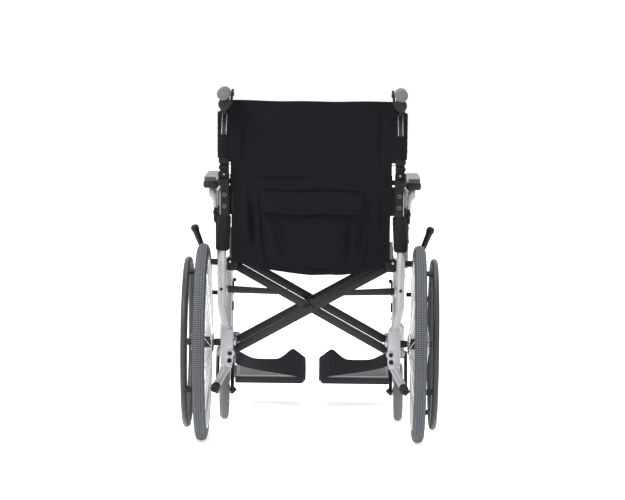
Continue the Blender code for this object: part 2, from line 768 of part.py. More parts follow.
def cross_arm(bar_ys):
    """One arm of the brace, from the left's lower tube up to the right's seat rail."""
    lower = rod((-PIVOT_X, BRACE_START, LOWER_RAIL_Z), (-PIVOT_X, BRACE_END, LOWER_RAIL_Z), BRACE_TUBE)
    upper = rod((PIVOT_X, SEAT_START, SEAT_RAIL_Z), (PIVOT_X, SEAT_END, SEAT_RAIL_Z), BRACE_TUBE)
    reach = HALF_ARM - BAR_SHORT
    bars = []
    for y in bar_ys:
        bar = block(
            (-reach, y - BAR_THICK / 2, -BAR_DROP - BAR_HEIGHT / 2),
            (reach, y + BAR_THICK / 2, -BAR_DROP + BAR_HEIGHT / 2),
            0.0015,
        )
        turn = Matrix.Translation((0, 0, CENTRE_Z)) @ Matrix.Rotation(-ARM_ANGLE, 4, "Y")
        bars.append(moved_by(bar, turn))
    arm = fuse(together(lower, upper), together(*bars))
    holes = [rod((0, y - 0.01, CENTRE_Z), (0, y + 0.01, CENTRE_Z), bore(BOLT_RADIUS)) for y in bar_ys]
    for end, inward in ((BRACE_START, 1), (BRACE_END, -1)):
        start = (-PIVOT_X, end - inward * 0.01, LOWER_RAIL_Z)
        stop = (-PIVOT_X, end + inward * (PIN_REACH + 0.001), LOWER_RAIL_Z)
        holes.append(rod(start, stop, bore(PIVOT_PIN)))
    return carve(arm, together(*holes))


def cross_bolt(bar_a, bar_b):
    """Bolt and nut through one bar of each arm."""
    near = bar_a - BAR_THICK / 2 - GAP
    far = bar_b + BAR_THICK / 2 + GAP
    shank = rod((0, near - 0.001, CENTRE_Z), (0, far + 0.001, CENTRE_Z), BOLT_RADIUS)
    head = rod((0, near - HEAD_THICK, CENTRE_Z), (0, near, CENTRE_Z), BOLT_HEAD, 10, BOLT_HEAD)
    nut = rod((0, far, CENTRE_Z), (0, far + HEAD_THICK, CENTRE_Z), BOLT_HEAD, 6)
    return fuse(shank, head, nut)


def link_reach():
    """How far from the brace's centre a link's inner end sits, for equal lengths open and folded."""

    def mismatch(reach):
        lengths = []
        for angle in (ARM_ANGLE, FOLDED):
            x = PIVOT_X - (HALF_ARM - reach) * cos(angle)
            z = LOWER_RAIL_Z + (HALF_ARM + reach) * sin(angle)
            lengths.append(sqrt((LINK_X - x) ** 2 + (LINK_Z - z) ** 2))
        return lengths[0] - lengths[1]

    low = 0.04
    high = 0.13
    for _ in range(40):
        middle = (low + high) / 2
        if (mismatch(middle) > 0) == (mismatch(low) > 0):
            low = middle
        else:
            high = middle
    return low


def link(bar_y):
    """A flat link from the side frame's pin to one arm of the brace, with its rivet head."""
    reach = link_reach()
    inner = (reach * cos(ARM_ANGLE), CENTRE_Z + reach * sin(ARM_ANGLE))
    near = bar_y + BAR_THICK / 2 + LINK_LIFT
    pin = (LINK_X, LINK_Z)
    body = plate(bar_outline(pin, LINK_HALF, inner, LINK_HALF), near, near + LINK_THICK, "Y")
    rivet = rod(
        (inner[0], near + 0.001, inner[1]), (inner[0], near + LINK_THICK + 0.002, inner[1]), 0.006, 10
    )
    hole = rod((pin[0], near - 0.01, pin[1]), (pin[0], near + 0.02, pin[1]), bore(LINK_PIN))
    return carve(fuse(body, rivet), hole)


def hanger():
    """The swing-away footrest tube, with the rod on which the footplate flips."""
    path = [
        (FRAME_X, HANGER_Y, REST_HIGH + GAP),
        (FRAME_X, HANGER_Y, HANGER_TOP),
        (FRAME_X, HANGER_KNEE_Y, HANGER_TOP),
        (FRAME_X, *HANGER_FOOT),
    ]
    leg = tube(rounded(path, HANGER_BEND), HANGER_TUBE)
    pivot = rod((FLIP_X, HANGER_FOOT[0] + 0.011, FLIP_Z), (FLIP_X, PLATE_FRONT - 0.005, FLIP_Z), FLIP_ROD, 8)
    foot = rod(
        (FLIP_X, HANGER_FOOT[0] - 0.012, FLIP_Z), (FLIP_X, PLATE_BACK - GAP, FLIP_Z), PLATE_HUB - 0.001
    )
    return fuse(leg, pivot, foot)


def footplate():
    """A moulded plate that rises to its front, with a hub round the hanger's rod and a ribbed underside."""
    length = (PLATE_FRONT - PLATE_BACK - (PLATE_TOP - PLATE_LOW) * sin(PLATE_RISE)) / cos(PLATE_RISE)
    front = PLATE_BACK + length
    outline = [
        (PLATE_OUT, PLATE_TOP),
        (PLATE_OUT, PLATE_LOW + 0.006),
        (PLATE_OUT - 0.006, PLATE_LOW),
        (PLATE_IN + 0.004, PLATE_LOW),
        (PLATE_IN, PLATE_LOW + 0.004),
        (PLATE_IN, PLATE_TOP - 0.004),
        (PLATE_IN + 0.004, PLATE_TOP),
    ]
    cuts = []
    for corner_y, side in ((PLATE_BACK, 1), (front, -1)):
        corner = [
            (PLATE_IN - 0.01, corner_y - side * 0.01),
            (PLATE_IN + 0.018, corner_y - side * 0.01),
            (PLATE_IN + 0.018, corner_y),
            (PLATE_IN + 0.005, corner_y + side * 0.005),
            (PLATE_IN, corner_y + side * 0.018),
            (PLATE_IN - 0.01, corner_y + side * 0.018),
        ]
        cuts.append(plate(corner, PLATE_LOW - 0.01, PLATE_TOP + 0.01, "Z"))
    pocket_y = (length - 0.020) / 3
    pocket_x = (PLATE_IN + 0.022, PLATE_OUT - 0.020)
    for row in range(3):
        start = PLATE_BACK + 0.007 + row * (pocket_y + 0.003)
        cuts.append(
            block(
                (pocket_x[0], start, PLATE_LOW - 0.01),
                (pocket_x[1], start + pocket_y, PLATE_TOP - 0.006),
            )
        )
    body = carve(plate(outline, PLATE_BACK, front, "Y"), *cuts)
    edge = Matrix.Translation((0, PLATE_BACK, PLATE_TOP))
    body = moved_by(body, edge @ Matrix.Rotation(PLATE_RISE, 4, "X") @ edge.inverted())
    hub = rod((FLIP_X, PLATE_BACK, FLIP_Z), (FLIP_X, PLATE_FRONT, FLIP_Z), PLATE_HUB)
    hole = rod((FLIP_X, PLATE_BACK - 0.01, FLIP_Z), (FLIP_X, PLATE_FRONT + 0.01, FLIP_Z), bore(FLIP_ROD))
    return carve(fuse(body, hub), hole)


def heel_loop():
    """A webbing strap from the footplate's outer end, behind the heel and round its inner end."""
    route = [
        (PLATE_OUT - 0.001, PLATE_BACK - 0.006, 0.124, 0.1635),
        (0.205, 0.622, 0.119, 0.159),
        (0.180, 0.604, 0.115, 0.149),
        (0.130, 0.598, 0.107, 0.1440),
        (0.098, 0.599, 0.102, 0.1450),
        (0.060, 0.605, 0.095, 0.173),
        (0.034, 0.622, 0.085, 0.160),
        (PLATE_IN - 0.003, 0.650, 0.074, 0.143),
        (PLATE_IN - 0.003, 0.700, 0.074, 0.125),
        (PLATE_IN - 0.003, 0.740, 0.078, 0.110),
    ]
    bm = bmesh.new()
    rings = []
    for i, (x, y, low, high) in enumerate(route):
        before = route[max(i - 1, 0)]
        after = route[min(i + 1, len(route) - 1)]
        across = Vector((after[1] - before[1], before[0] - after[0], 0)).normalized() * LOOP_THICK / 2
        corners = [(across, low), (across, high), (-across, high), (-across, low)]
        rings.append([bm.verts.new((x + side.x, y + side.y, z)) for side, z in corners])
    for near, far in zip(rings, rings[1:]):
        for i in range(4):
            bm.faces.new((near[i], near[(i + 1) % 4], far[(i + 1) % 4], far[i]))
    bm.faces.new(rings[0])
    bm.faces.new(rings[-1])
    return piece_of(bm)


def hanger_latch():
    """The release ring round the hanger, with its ball-ended lever."""
    low = RING_HIGH + GAP
    ring = rod((FRAME_X, HANGER_Y, low), (FRAME_X, HANGER_Y, LATCH_HIGH), RING_RADIUS - 0.001)
    ball_place = (FRAME_X - RING_RADIUS - 0.005, HANGER_Y, LATCH_HIGH + 0.009)
    stalk = rod((FRAME_X - RING_RADIUS + 0.003, HANGER_Y, LATCH_HIGH - 0.008), ball_place, 0.004, SMALL_SIDES)
    hole = rod((FRAME_X, HANGER_Y, low - 0.01), (FRAME_X, HANGER_Y, LATCH_HIGH + 0.01), bore(HANGER_TUBE))
    return carve(fuse(ring, stalk, ball(ball_place, LATCH_BALL)), hole)


def armrest_tube():
    """The flip-up armrest: a flattened end on the rear pivot, the rail and the front leg."""
    inside = ARM_FLAT_X - TONGUE_HALF
    outside = ARM_FLAT_X + TONGUE_HALF
    flare_low = ARM_PIVOT_Z + 0.028
    flare_high = ARM_Z - 0.016
    path = [
        (ARM_X, ARM_PIVOT_Y, flare_high - 0.004),
        (ARM_X, ARM_PIVOT_Y, ARM_Z),
        (ARM_X, ARM_FRONT_Y, ARM_Z),
        (ARM_X, ARM_FRONT_Y, RECEIVER_TOP + GAP),
    ]
    rail = tube(rounded(path, ARM_BEND), ARM_TUBE)
    flare = plate(
        [
            (inside, ARM_PIVOT_Z),
            (inside, flare_high - 0.004),
            (inside + 0.003, flare_high),
            (ARM_X + ARM_TUBE - 0.003, flare_high),
            (ARM_X + ARM_TUBE - 0.0005, flare_high - 0.004),
            (outside, flare_low),
            (outside, ARM_PIVOT_Z),
        ],
        ARM_PIVOT_Y - EAR_RADIUS + 0.0012,
        ARM_PIVOT_Y + EAR_RADIUS - 0.0012,
        "Y",
    )
    eye = rod((inside, ARM_PIVOT_Y, ARM_PIVOT_Z), (outside, ARM_PIVOT_Y, ARM_PIVOT_Z), EAR_RADIUS - 0.001)
    hole = rod(
        (ARM_FLAT_X - 0.01, ARM_PIVOT_Y, ARM_PIVOT_Z),
        (ARM_FLAT_X + 0.01, ARM_PIVOT_Y, ARM_PIVOT_Z),
        bore(ARM_PIN),
    )
    return carve(fuse(rail, flare, eye), hole)


def arm_pad():
    """A crowned pad with drawn-in ends."""
    foot = ARM_Z + ARM_TUBE + GAP
    middle = (PAD_IN + PAD_OUT) / 2
    half = (PAD_OUT - PAD_IN) / 2
    rows = ((0, 0.84, 0.9), (0.05, 1, 1), (0.95, 1, 1), (1, 0.84, 0.9))
    profile = ((-1, 0.18), (-1, 0.62), (-0.8, 0.88), (-0.35, 1), (0.35, 1), (0.8, 0.88), (1, 0.62), (1, 0.18))
    profile += ((0.8, 0), (-0.8, 0))
    bm = bmesh.new()
    rings = []
    for share, wide, tall in rows:
        ring = []
        for across, up in profile:
            place = (middle + across * half * wide, share * PAD_LENGTH, foot + up * PAD_THICK * tall)
            ring.append(bm.verts.new(place))
        rings.append(ring)
    for near, far in zip(rings, rings[1:]):
        for i in range(len(profile)):
            j = (i + 1) % len(profile)
            bm.faces.new((near[i], near[j], far[j], far[i]))
    bm.faces.new(rings[0])
    bm.faces.new(rings[-1])
    return piece_of(bm)


def skirt_guard():
    """The clothes guard that fills the armrest's loop."""
    back = ARM_PIVOT_Y + ARM_TUBE + GAP
    front = ARM_FRONT_Y - ARM_TUBE - GAP
    top = ARM_Z - ARM_TUBE - GAP
    cut = ARM_BEND - ARM_TUBE
    outline = [(back, GUARD_LOW + 0.02), (back + 0.02, GUARD_LOW), (front, GUARD_LOW), (front, top - cut)]
    outline += [(front - cut * 0.3, top - cut * 0.3), (front - cut, top), (back + cut, top)]
    outline += [(back + cut * 0.3, top - cut * 0.3), (back, top - cut)]
    return plate(outline, ARM_X - GUARD_THICK / 2, ARM_X + GUARD_THICK / 2)


def hinge_rod(start, end, radius, sides=SMALL_SIDES):
    """A rod on the back hinge's line, from one distance off the upright's centre to another."""
    return rod((POST_X + start, -HINGE_BACK, HINGE_Z), (POST_X + end, -HINGE_BACK, HINGE_Z), radius, sides)


def back_hinge():
    """The lower hinge bracket on the upright, and the armrest's socket beside it."""
    body = block(
        (POST_X - HINGE_HALF, -HINGE_DEEP, HINGE_LOW),
        (POST_X + HINGE_HALF, HINGE_DEEP, HINGE_Z - GAP / 2),
        0.002,
    )
    half = HINGE_HALF / 2
    body = carve(body, hinge_rod(-half - GAP, half + GAP, KNUCKLE + 0.0012))
    outer = together(
        hinge_rod(-HINGE_HALF + GAP, -half - 2 * GAP, KNUCKLE),
        hinge_rod(half + 2 * GAP, HINGE_HALF - GAP, KNUCKLE),
    )
    screws = []
    for z in (0.635, 0.667):
        screws.append(rod((POST_X, -HINGE_DEEP + 0.001, z), (POST_X, -HINGE_DEEP - 0.002, z), 0.0055, 8))
    body = fuse(body, outer)
    body = fuse(body, hinge_rod(-half - 0.002, half + 0.002, HINGE_PIN), *screws)
    hole = rod((POST_X, 0, HINGE_LOW - 0.01), (POST_X, 0, UPRIGHT_TOP + GAP), bore(TUBE))
    body = moved_by(carve(body, hole), LEAN)
    ear_in = ARM_FLAT_X - TONGUE_HALF - GAP
    ear_out = ARM_FLAT_X + TONGUE_HALF + GAP
    low = ARM_PIVOT_Z - 0.034
    side = block((FRAME_X - 0.001, -0.0028, HINGE_LOW + 0.004), (ear_in - 0.0002, 0.0405, HINGE_LOW + 0.020))
    web = block((FRAME_X, 0.012, low + 0.002), (ear_in - 0.001, 0.040, HINGE_LOW + 0.015))
    yoke_top = ARM_PIVOT_Z - EAR_RADIUS - GAP
    yoke = plate(
        [
            (FRAME_X + 0.001, low),
            (FRAME_X + 0.001, yoke_top),
            (ear_out + EAR_THICK, yoke_top),
            (ear_out + EAR_THICK, yoke_top - 0.004),
            (FRAME_X + TUBE + 0.005, low),
        ],
        0.0205,
        0.0395,
        "Y",
    )
    outline = bar_outline(
        (ARM_PIVOT_Y, ARM_PIVOT_Z), EAR_RADIUS, (ARM_PIVOT_Y, low + 0.018), EAR_RADIUS * 0.8
    )
    inner_ear = plate(outline, ear_in - EAR_THICK, ear_in)
    outer_ear = plate(outline, ear_out, ear_out + EAR_THICK - 0.0002)
    pin = rod(
        (ear_in - 0.001, ARM_PIVOT_Y, ARM_PIVOT_Z),
        (ear_out + 0.001, ARM_PIVOT_Y, ARM_PIVOT_Z),
        ARM_PIN,
        8,
    )
    return fuse(body, side, web, yoke, inner_ear, outer_ear, pin)


def handle_path():
    top = lean(POST_X, 0, TILT_Z + (HANDLE_Z - TILT_Z) / cos(BACK_TILT))
    foot = lean(POST_X, 0, HINGE_HIGH - 0.015)
    return rounded([foot, (HANDLE_X, top[1], HANDLE_Z), (HANDLE_X, HANDLE_END, HANDLE_Z)], HANDLE_BEND)


def back_post():
    """The folding upper post: hinge block, tube, handle and the attendant lever's housing."""
    body = block(
        (POST_X - HINGE_HALF, -HINGE_DEEP, HINGE_Z + GAP / 2),
        (POST_X + HINGE_HALF, HINGE_DEEP, HINGE_HIGH),
        0.002,
    )
    half = HINGE_HALF / 2
    clear = together(
        hinge_rod(-HINGE_HALF - 0.01, -half, KNUCKLE + 0.0012),
        hinge_rod(half, HINGE_HALF + 0.01, KNUCKLE + 0.0012),
    )
    body = fuse(carve(body, clear), hinge_rod(-half + GAP, half - GAP, KNUCKLE))
    hole = hinge_rod(-half - 0.001, half + 0.001, bore(HINGE_PIN, SMALL_SIDES))
    body = moved_by(carve(body, hole), LEAN)
    post = tube(handle_path(), TUBE)
    housing = rod((HANDLE_X, HOUSE_START, HOUSE_Z), (HANDLE_X, HOUSE_END, HOUSE_Z), HOUSE_RADIUS)
    neck = block((HANDLE_X - 0.006, HOUSE_START - 0.020, HOUSE_Z), (HANDLE_X + 0.006, HOUSE_START, HANDLE_Z))
    ear_radius = LEVER_DEEP / 2 - LEVER_WALL - GAP
    ear = plate(
        bar_outline(LEVER_PIVOT, ear_radius, (HOUSE_START - 0.012, HOUSE_Z - 0.006), 0.007),
        HANDLE_X - 0.004,
        HANDLE_X + 0.004,
    )
    pin_half = LEVER_HALF + 0.0002
    pin = rod(
        (HANDLE_X - pin_half, *LEVER_PIVOT), (HANDLE_X + pin_half, *LEVER_PIVOT), LEVER_PIN, SMALL_SIDES
    )
    return fuse(body, post, housing, neck, ear, pin)


def push_grip():
    """A grey sleeve with finger ridges and a round end."""
    length = GRIP_START - GRIP_END
    profile = [(0, 0), (0, GRIP_RADIUS - 0.001)]
    for ridge in range(1, 6):
        along = length * ridge / 6.5
        profile.append((along, GRIP_RADIUS if ridge % 2 else GRIP_RADIUS - 0.0012))
    profile += [(length - 0.006, GRIP_RADIUS), (length - 0.001, GRIP_RADIUS * 0.72), (length, 0)]
    whole = turned(profile, (0, 0, 0), SIDES)
    turn = Matrix.Translation((HANDLE_X, GRIP_START, HANDLE_Z)) @ Matrix.Rotation(-pi / 2, 4, "Z")
    whole = moved_by(whole, turn)
    hole = rod((HANDLE_X, GRIP_START + 0.01, HANDLE_Z), (HANDLE_X, HANDLE_END - GAP, HANDLE_Z), bore(TUBE))
    return carve(whole, hole)


def attendant_lever():
    """A folded channel that swings up under the grip."""
    along = Vector(LEVER_TIP) - Vector(LEVER_PIVOT)
    length = along.length
    heading = atan2(along.y, along.x)
    outline = bar_outline((0, 0), LEVER_DEEP / 2, (length, 0), LEVER_DEEP * 0.4)
    body = plate(outline, -LEVER_HALF, LEVER_HALF)
    inner = LEVER_HALF - LEVER_WALL
    inside = block((-inner, -0.02, -0.02), (inner, length - 0.004, LEVER_DEEP / 2 - LEVER_WALL))
    hole = rod((-0.02, 0, 0), (0.02, 0, 0), bore(LEVER_PIN, SMALL_SIDES), SMALL_SIDES)
    whole = carve(body, inside, hole)
    turn = Matrix.Translation((HANDLE_X, *LEVER_PIVOT)) @ Matrix.Rotation(heading, 4, "X")
    return moved_by(whole, turn)


def brake_base():
    """The wheel lock's clamp on the upper rail and the arm that holds its pivot."""
    end = LOCK_Y + LOCK_WIDE
    ring = rod((FRAME_X, LOCK_Y, UPPER_RAIL_Z), (FRAME_X, end, UPPER_RAIL_Z), LOCK_RING)
    arm = block(
        (FRAME_X + TUBE, LOCK_PIVOT[0] - 0.012, LOCK_PIVOT[1] - 0.008),
        (LOCK_OUT, LOCK_PIVOT[0] + 0.003, LOCK_PIVOT[1] + 0.008),
        0.002,
    )
    cheek = rod((LOCK_OUT - 0.006, *LOCK_PIVOT), (LOCK_OUT, *LOCK_PIVOT), 0.012)
    pin = rod((LOCK_OUT - 0.003, *LOCK_PIVOT), (LOCK_OUT + LOCK_PLATE + GAP, *LOCK_PIVOT), 0.003, SMALL_SIDES)
    hole = rod((FRAME_X, LOCK_Y - 0.01, UPPER_RAIL_Z), (FRAME_X, end + 0.01, UPPER_RAIL_Z), bore(TUBE))
    return carve(fuse(ring, arm, cheek, pin), hole)


def brake_lever():
    """The wheel lock's lever: a plate with a knob above its pivot and a shoe bar below."""
    near = LOCK_OUT + GAP
    far = near + LOCK_PLATE
    upper = plate(bar_outline(LOCK_PIVOT, 0.010, LOCK_BEND, 0.0075), near, far)
    lower = plate(
        bar_outline(LOCK_PIVOT, 0.010, LOCK_SHOE, SHOE_RADIUS - 0.0005), near + 0.0002, far - 0.0002
    )
    stick = rod(((near + far) / 2, *LOCK_BEND), LOCK_NECK, 0.0045, SMALL_SIDES)
    handle = rod(
        Vector(LOCK_NECK) + (Vector(LOCK_NECK) - Vector(LOCK_KNOB)) * 0.12,
        LOCK_KNOB,
        0.0075,
        SMALL_SIDES,
        0.0088,
    )
    bar = rod(
        (WHEEL_X - TYRE_HALF - 0.006, *LOCK_SHOE),
        (WHEEL_X + TYRE_HALF + 0.002, *LOCK_SHOE),
        SHOE_RADIUS,
    )
    hole = rod((near - 0.01, *LOCK_PIVOT), (far + 0.01, *LOCK_PIVOT), bore(0.003, SMALL_SIDES), SMALL_SIDES)
    return carve(fuse(upper, lower, stick, handle, ball(LOCK_KNOB, KNOB_RADIUS, 8), bar), hole)


def lower_sleeve():
    """Foam round the upright under the hinge bracket."""
    path = [
        lean(FRAME_X, 0, SLEEVE_LOW),
        lean(FRAME_X, 0, TILT_Z + 0.040),
        lean(POST_X, 0, HINGE_LOW - 0.004),
        lean(POST_X, 0, HINGE_LOW - 0.002),
    ]
    return carve(tube(rounded(path, 0.02, 2), SLEEVE_RADIUS), tube(upright_path(), bore(TUBE)))


def back_lock():
    """The spring catch in front of the back hinge."""
    near = HINGE_DEEP + GAP
    thick = 0.004
    foot = (near + thick / 2, HINGE_Z - 0.046)
    head = (near + thick / 2, HINGE_Z + 0.022)
    body = plate(bar_outline(foot, thick / 2, head, thick / 2, 4), POST_X - 0.009, POST_X + 0.009)
    tab = plate(
        bar_outline((head[0], head[1] - 0.006), 0.0018, (head[0] + 0.012, head[1] + 0.002), 0.0018, 4),
        POST_X - 0.006,
        POST_X + 0.006,
    )
    return moved_by(fuse(body, tab), LEAN)


def seat_sling():
    """The fabric seat between the two seat rails, with its sag."""
    foot = SEAT_RAIL_Z + BRACE_TUBE + GAP
    flat_x = SLING_X * (1 - 2 / SLING_COLUMNS)

    def place(u, v):
        x = SLING_X * (2 * u - 1)
        y = SLING_BACK + v * (SEAT_END - SLING_BACK)
        share = min(abs(x) / flat_x, 1)
        ends = 1 - SLING_TAUT * (2 * v - 1) ** 2
        return (x, y, foot - SLING_SAG * ends * (1 - share**4))

    return spread(place, raised(place, (0, 0, SLING_THICK)), SLING_COLUMNS, 6)


def panel_y(x, bow=PANEL_BOW):
    """How far the back's fabric lies behind the uprights' centre plane."""
    return PANEL_Y - bow * (1 - (x / PANEL_X) ** 2)


def back_panel_lower():
    """The lower back fabric with a curved hem, side tabs and the rear pocket."""

    def place(u, v):
        x = PANEL_X * (2 * u - 1)
        hem = HEM_MIDDLE + (HEM_SIDE - HEM_MIDDLE) * abs(2 * u - 1) ** 3
        top = HINGE_Z - SEAM
        return (x, panel_y(x), hem + v * (top - hem))

    cloth = spread(place, raised(place, (0, -PANEL_THICK, 0)), 14, 4)
    tabs = []
    for side in (-1, 1):
        ends = sorted((side * (PANEL_X - 0.01), side * (POST_X - HINGE_HALF - GAP)))
        tabs.append(
            block(
                (ends[0], PANEL_Y - PANEL_THICK + 0.001, SIDE_TAB[0]),
                (ends[1], PANEL_Y - 0.001, SIDE_TAB[1]),
            )
        )

    def inside(x, z):
        return (x, panel_y(x) - PANEL_THICK / 2, z)

    def pocket_back(u, v):
        x = POCKET_HALF * (2 * u - 1)
        puff = POCKET_PUFF * sin(pi * u) * sin(pi * min(v * 1.1, 1))
        return (x, panel_y(x) - PANEL_THICK - 0.003 - puff, POCKET_LOW + v * POCKET_TALL)

    def pocket_front(u, v):
        return inside(POCKET_HALF * (2 * u - 1), POCKET_LOW + v * POCKET_TALL)

    def flap_back(u, v):
        x = (POCKET_HALF + 0.003) * (2 * u - 1)
        low = POCKET_LOW + POCKET_TALL - 0.056 + 0.006 * (2 * u - 1) ** 2
        return (x, panel_y(x) - PANEL_THICK - 0.0135 + 0.010 * v, low + v * 0.062)

    def flap_front(u, v):
        x, _, z = flap_back(u, v)
        return inside(x, z)

    pocket = spread(pocket_front, pocket_back, 10, 4)
    flap = spread(flap_front, flap_back, 10, 2)
    return moved_by(fuse(cloth, *tabs, pocket, flap), LEAN)


def back_panel_upper():
    """The upper back fabric, with a sleeve down each post."""

    def place(u, v):
        x = PANEL_X * (2 * u - 1)
        low = HINGE_Z + SEAM
        top = PANEL_TOP - 0.006 * (1 - (2 * u - 1) ** 2)
        return (x, panel_y(x), low + v * (top - low))

    cloth = spread(place, raised(place, (0, -PANEL_THICK, 0)), 14, 4)
    sleeves = []
    for side in (-1, 1):
        x = side * POST_X
        sleeve = rod((x, 0, HINGE_HIGH + GAP), (x, 0, POST_SLEEVE_TOP), POST_SLEEVE)
        sleeves.append(moved_by(sleeve, Matrix.Diagonal((1, POST_SLEEVE_FLAT, 1, 1))))
        ends = sorted((side * (PANEL_X - 0.012), side * (POST_X - 0.015)))
        low = (ends[0], PANEL_Y - PANEL_THICK + 0.0012, HINGE_HIGH + 0.001)
        sleeves.append(block(low, (ends[1], PANEL_Y - 0.0012, POST_SLEEVE_TOP - 0.001)))
    whole = moved_by(fuse(cloth, *sleeves), LEAN)
    holes = []
    for side in (1, -1):
        hole = tube(handle_path(), bore(TUBE))
        holes.append(hole if side == 1 else mirrored(hole))
    return carve(whole, *holes)


def clear_scene():
    for thing in list(bpy.data.objects):
        bpy.data.objects.remove(thing)


def build():
    clear_scene()
    root = bpy.data.objects.new("wheelchair", None)
    root.location = (0, -MIDDLE_Y, 0)
    bpy.context.scene.collection.objects.link(root)
    hinge = lean(POST_X, -HINGE_BACK, HINGE_Z)
    lock = lean(POST_X, HINGE_DEEP + GAP + 0.002, HINGE_Z - 0.046)
    centre = (0, BARS_A[0], CENTRE_Z)
    pair("side_frame", "silver_paint", (FRAME_X, 0, LOWER_RAIL_Z), side_frame())
    pair("axle_block", "silver_paint", (PIVOT_X, 0, LOWER_RAIL_Z), axle_block())
    pair("tip_cap", "black_coat", TIP_END, tip_cap())
    pair("axle", "bright_metal", (WHEEL_X, 0, TYRE_RADIUS), axle())
    pair("wheel", "bright_metal", (WHEEL_X, 0, TYRE_RADIUS), wheel())
    pair("tyre", "tyre_rubber", (WHEEL_X, 0, TYRE_RADIUS), tyre())
    pair("handrim", "rim_grey", (WHEEL_X, 0, TYRE_RADIUS), handrim())
    pair("castor_fork", "black_coat", (CASTOR_X, CASTOR_Y, HOUSING_LOW), castor_fork())
    castor_axle = (CASTOR_X, CASTOR_AXLE_Y, CASTOR_RADIUS)
    pair("castor_wheel", "castor_rubber", castor_axle, castor_wheel())
    pair("castor_tyre", "castor_rubber", castor_axle, castor_tyre())
    settle(cross_arm(BARS_A), "cross_arm_a", "black_coat", (-PIVOT_X, 0, LOWER_RAIL_Z))
    settle(mirrored(cross_arm(BARS_B)), "cross_arm_b", "black_coat", (0, 0, CENTRE_Z))
    settle(cross_bolt(BARS_A[0], BARS_B[0]), "cross_bolt_rear", "bright_metal", centre)
    settle(cross_bolt(BARS_A[1], BARS_B[1]), "cross_bolt_front", "bright_metal", (0, BARS_A[1], CENTRE_Z))
    link_pivot = (LINK_X, BARS_A[0], LINK_Z)
    settle(link(BARS_A[0]), "link_r", "black_coat", link_pivot)
    settle(mirrored(link(BARS_B[0])), "link_l", "black_coat", (-link_pivot[0], *link_pivot[1:]))
    hanger_foot = (FRAME_X, HANGER_Y, REST_HIGH)
    pair("hanger", "silver_paint", hanger_foot, hanger())
    pair("footplate", "plate_grey", (FLIP_X, PLATE_BACK, FLIP_Z), footplate())
    pair("heel_loop", "black_fabric", (FLIP_X, PLATE_BACK, FLIP_Z), heel_loop())
    pair("hanger_latch", "black_coat", (FRAME_X, HANGER_Y, RING_HIGH), hanger_latch())
    arm_pivot = (ARM_FLAT_X, ARM_PIVOT_Y, ARM_PIVOT_Z)
    pair("armrest_tube", "silver_paint", arm_pivot, armrest_tube())
    pair("arm_pad", "black_coat", arm_pivot, arm_pad())
    pair("skirt_guard", "black_coat", arm_pivot, skirt_guard())
    pair("back_hinge", "black_coat", hinge, back_hinge())
    pair("back_post", "black_coat", hinge, back_post())
    pair("push_grip", "grip_grey", (HANDLE_X, GRIP_START, HANDLE_Z), push_grip())
    pair("attendant_lever", "black_coat", (HANDLE_X, *LEVER_PIVOT), attendant_lever())
    pair("brake_base", "black_coat", (LOCK_OUT, *LOCK_PIVOT), brake_base())
    pair("brake_lever", "black_coat", (LOCK_OUT, *LOCK_PIVOT), brake_lever())
    pair("lower_sleeve", "black_fabric", lean(POST_X, 0, SLEEVE_LOW), lower_sleeve())
    pair("back_lock", "black_coat", lock, back_lock())
    settle(seat_sling(), "seat_sling", "black_fabric", (0, SLING_BACK, SEAT_RAIL_Z))
    settle(back_panel_lower(), "back_panel_lower", "black_fabric", lean(0, 0, HINGE_Z))
    settle(back_panel_upper(), "back_panel_upper", "black_fabric", lean(0, 0, HINGE_Z))


build()
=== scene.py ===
# %% [markdown]
# # A folding wheelchair, dressed for a studio picture
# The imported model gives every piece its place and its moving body. This lesson replaces the plain solids with
# finer pieces, gives each one a finish of its own, and lights them on a pale floor, seen from behind.

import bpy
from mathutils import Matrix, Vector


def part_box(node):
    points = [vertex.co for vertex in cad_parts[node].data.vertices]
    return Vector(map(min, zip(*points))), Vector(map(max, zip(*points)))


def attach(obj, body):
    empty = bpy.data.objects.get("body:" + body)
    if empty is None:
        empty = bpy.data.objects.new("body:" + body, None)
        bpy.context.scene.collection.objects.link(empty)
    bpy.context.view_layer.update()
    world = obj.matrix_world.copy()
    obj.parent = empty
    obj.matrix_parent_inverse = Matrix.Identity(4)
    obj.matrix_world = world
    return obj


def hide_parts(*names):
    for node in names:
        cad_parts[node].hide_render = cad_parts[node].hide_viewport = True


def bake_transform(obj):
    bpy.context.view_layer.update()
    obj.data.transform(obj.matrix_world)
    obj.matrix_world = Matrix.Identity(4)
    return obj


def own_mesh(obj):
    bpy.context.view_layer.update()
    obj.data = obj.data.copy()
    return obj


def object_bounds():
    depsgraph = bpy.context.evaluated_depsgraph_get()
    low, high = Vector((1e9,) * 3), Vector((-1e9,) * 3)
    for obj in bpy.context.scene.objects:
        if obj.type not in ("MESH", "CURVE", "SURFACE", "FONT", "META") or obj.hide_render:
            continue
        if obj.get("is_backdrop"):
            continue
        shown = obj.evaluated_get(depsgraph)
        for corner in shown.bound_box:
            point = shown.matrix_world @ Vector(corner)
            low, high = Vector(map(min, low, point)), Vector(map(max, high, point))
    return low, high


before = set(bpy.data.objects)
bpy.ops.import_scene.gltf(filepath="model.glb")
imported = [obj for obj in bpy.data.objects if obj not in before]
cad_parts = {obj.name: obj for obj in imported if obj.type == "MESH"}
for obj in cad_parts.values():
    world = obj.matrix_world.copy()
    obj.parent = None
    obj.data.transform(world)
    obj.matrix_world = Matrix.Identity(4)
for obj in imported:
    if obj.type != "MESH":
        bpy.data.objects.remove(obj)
cad_low, cad_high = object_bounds()
print("frame box", [round(x, 4) for x in (*cad_low, *cad_high)])

# %% Places that many pieces share
from math import acos, atan2, cos, exp, pi, radians, sin, sqrt, tan

import bmesh
import bpy
from mathutils import Matrix, Vector

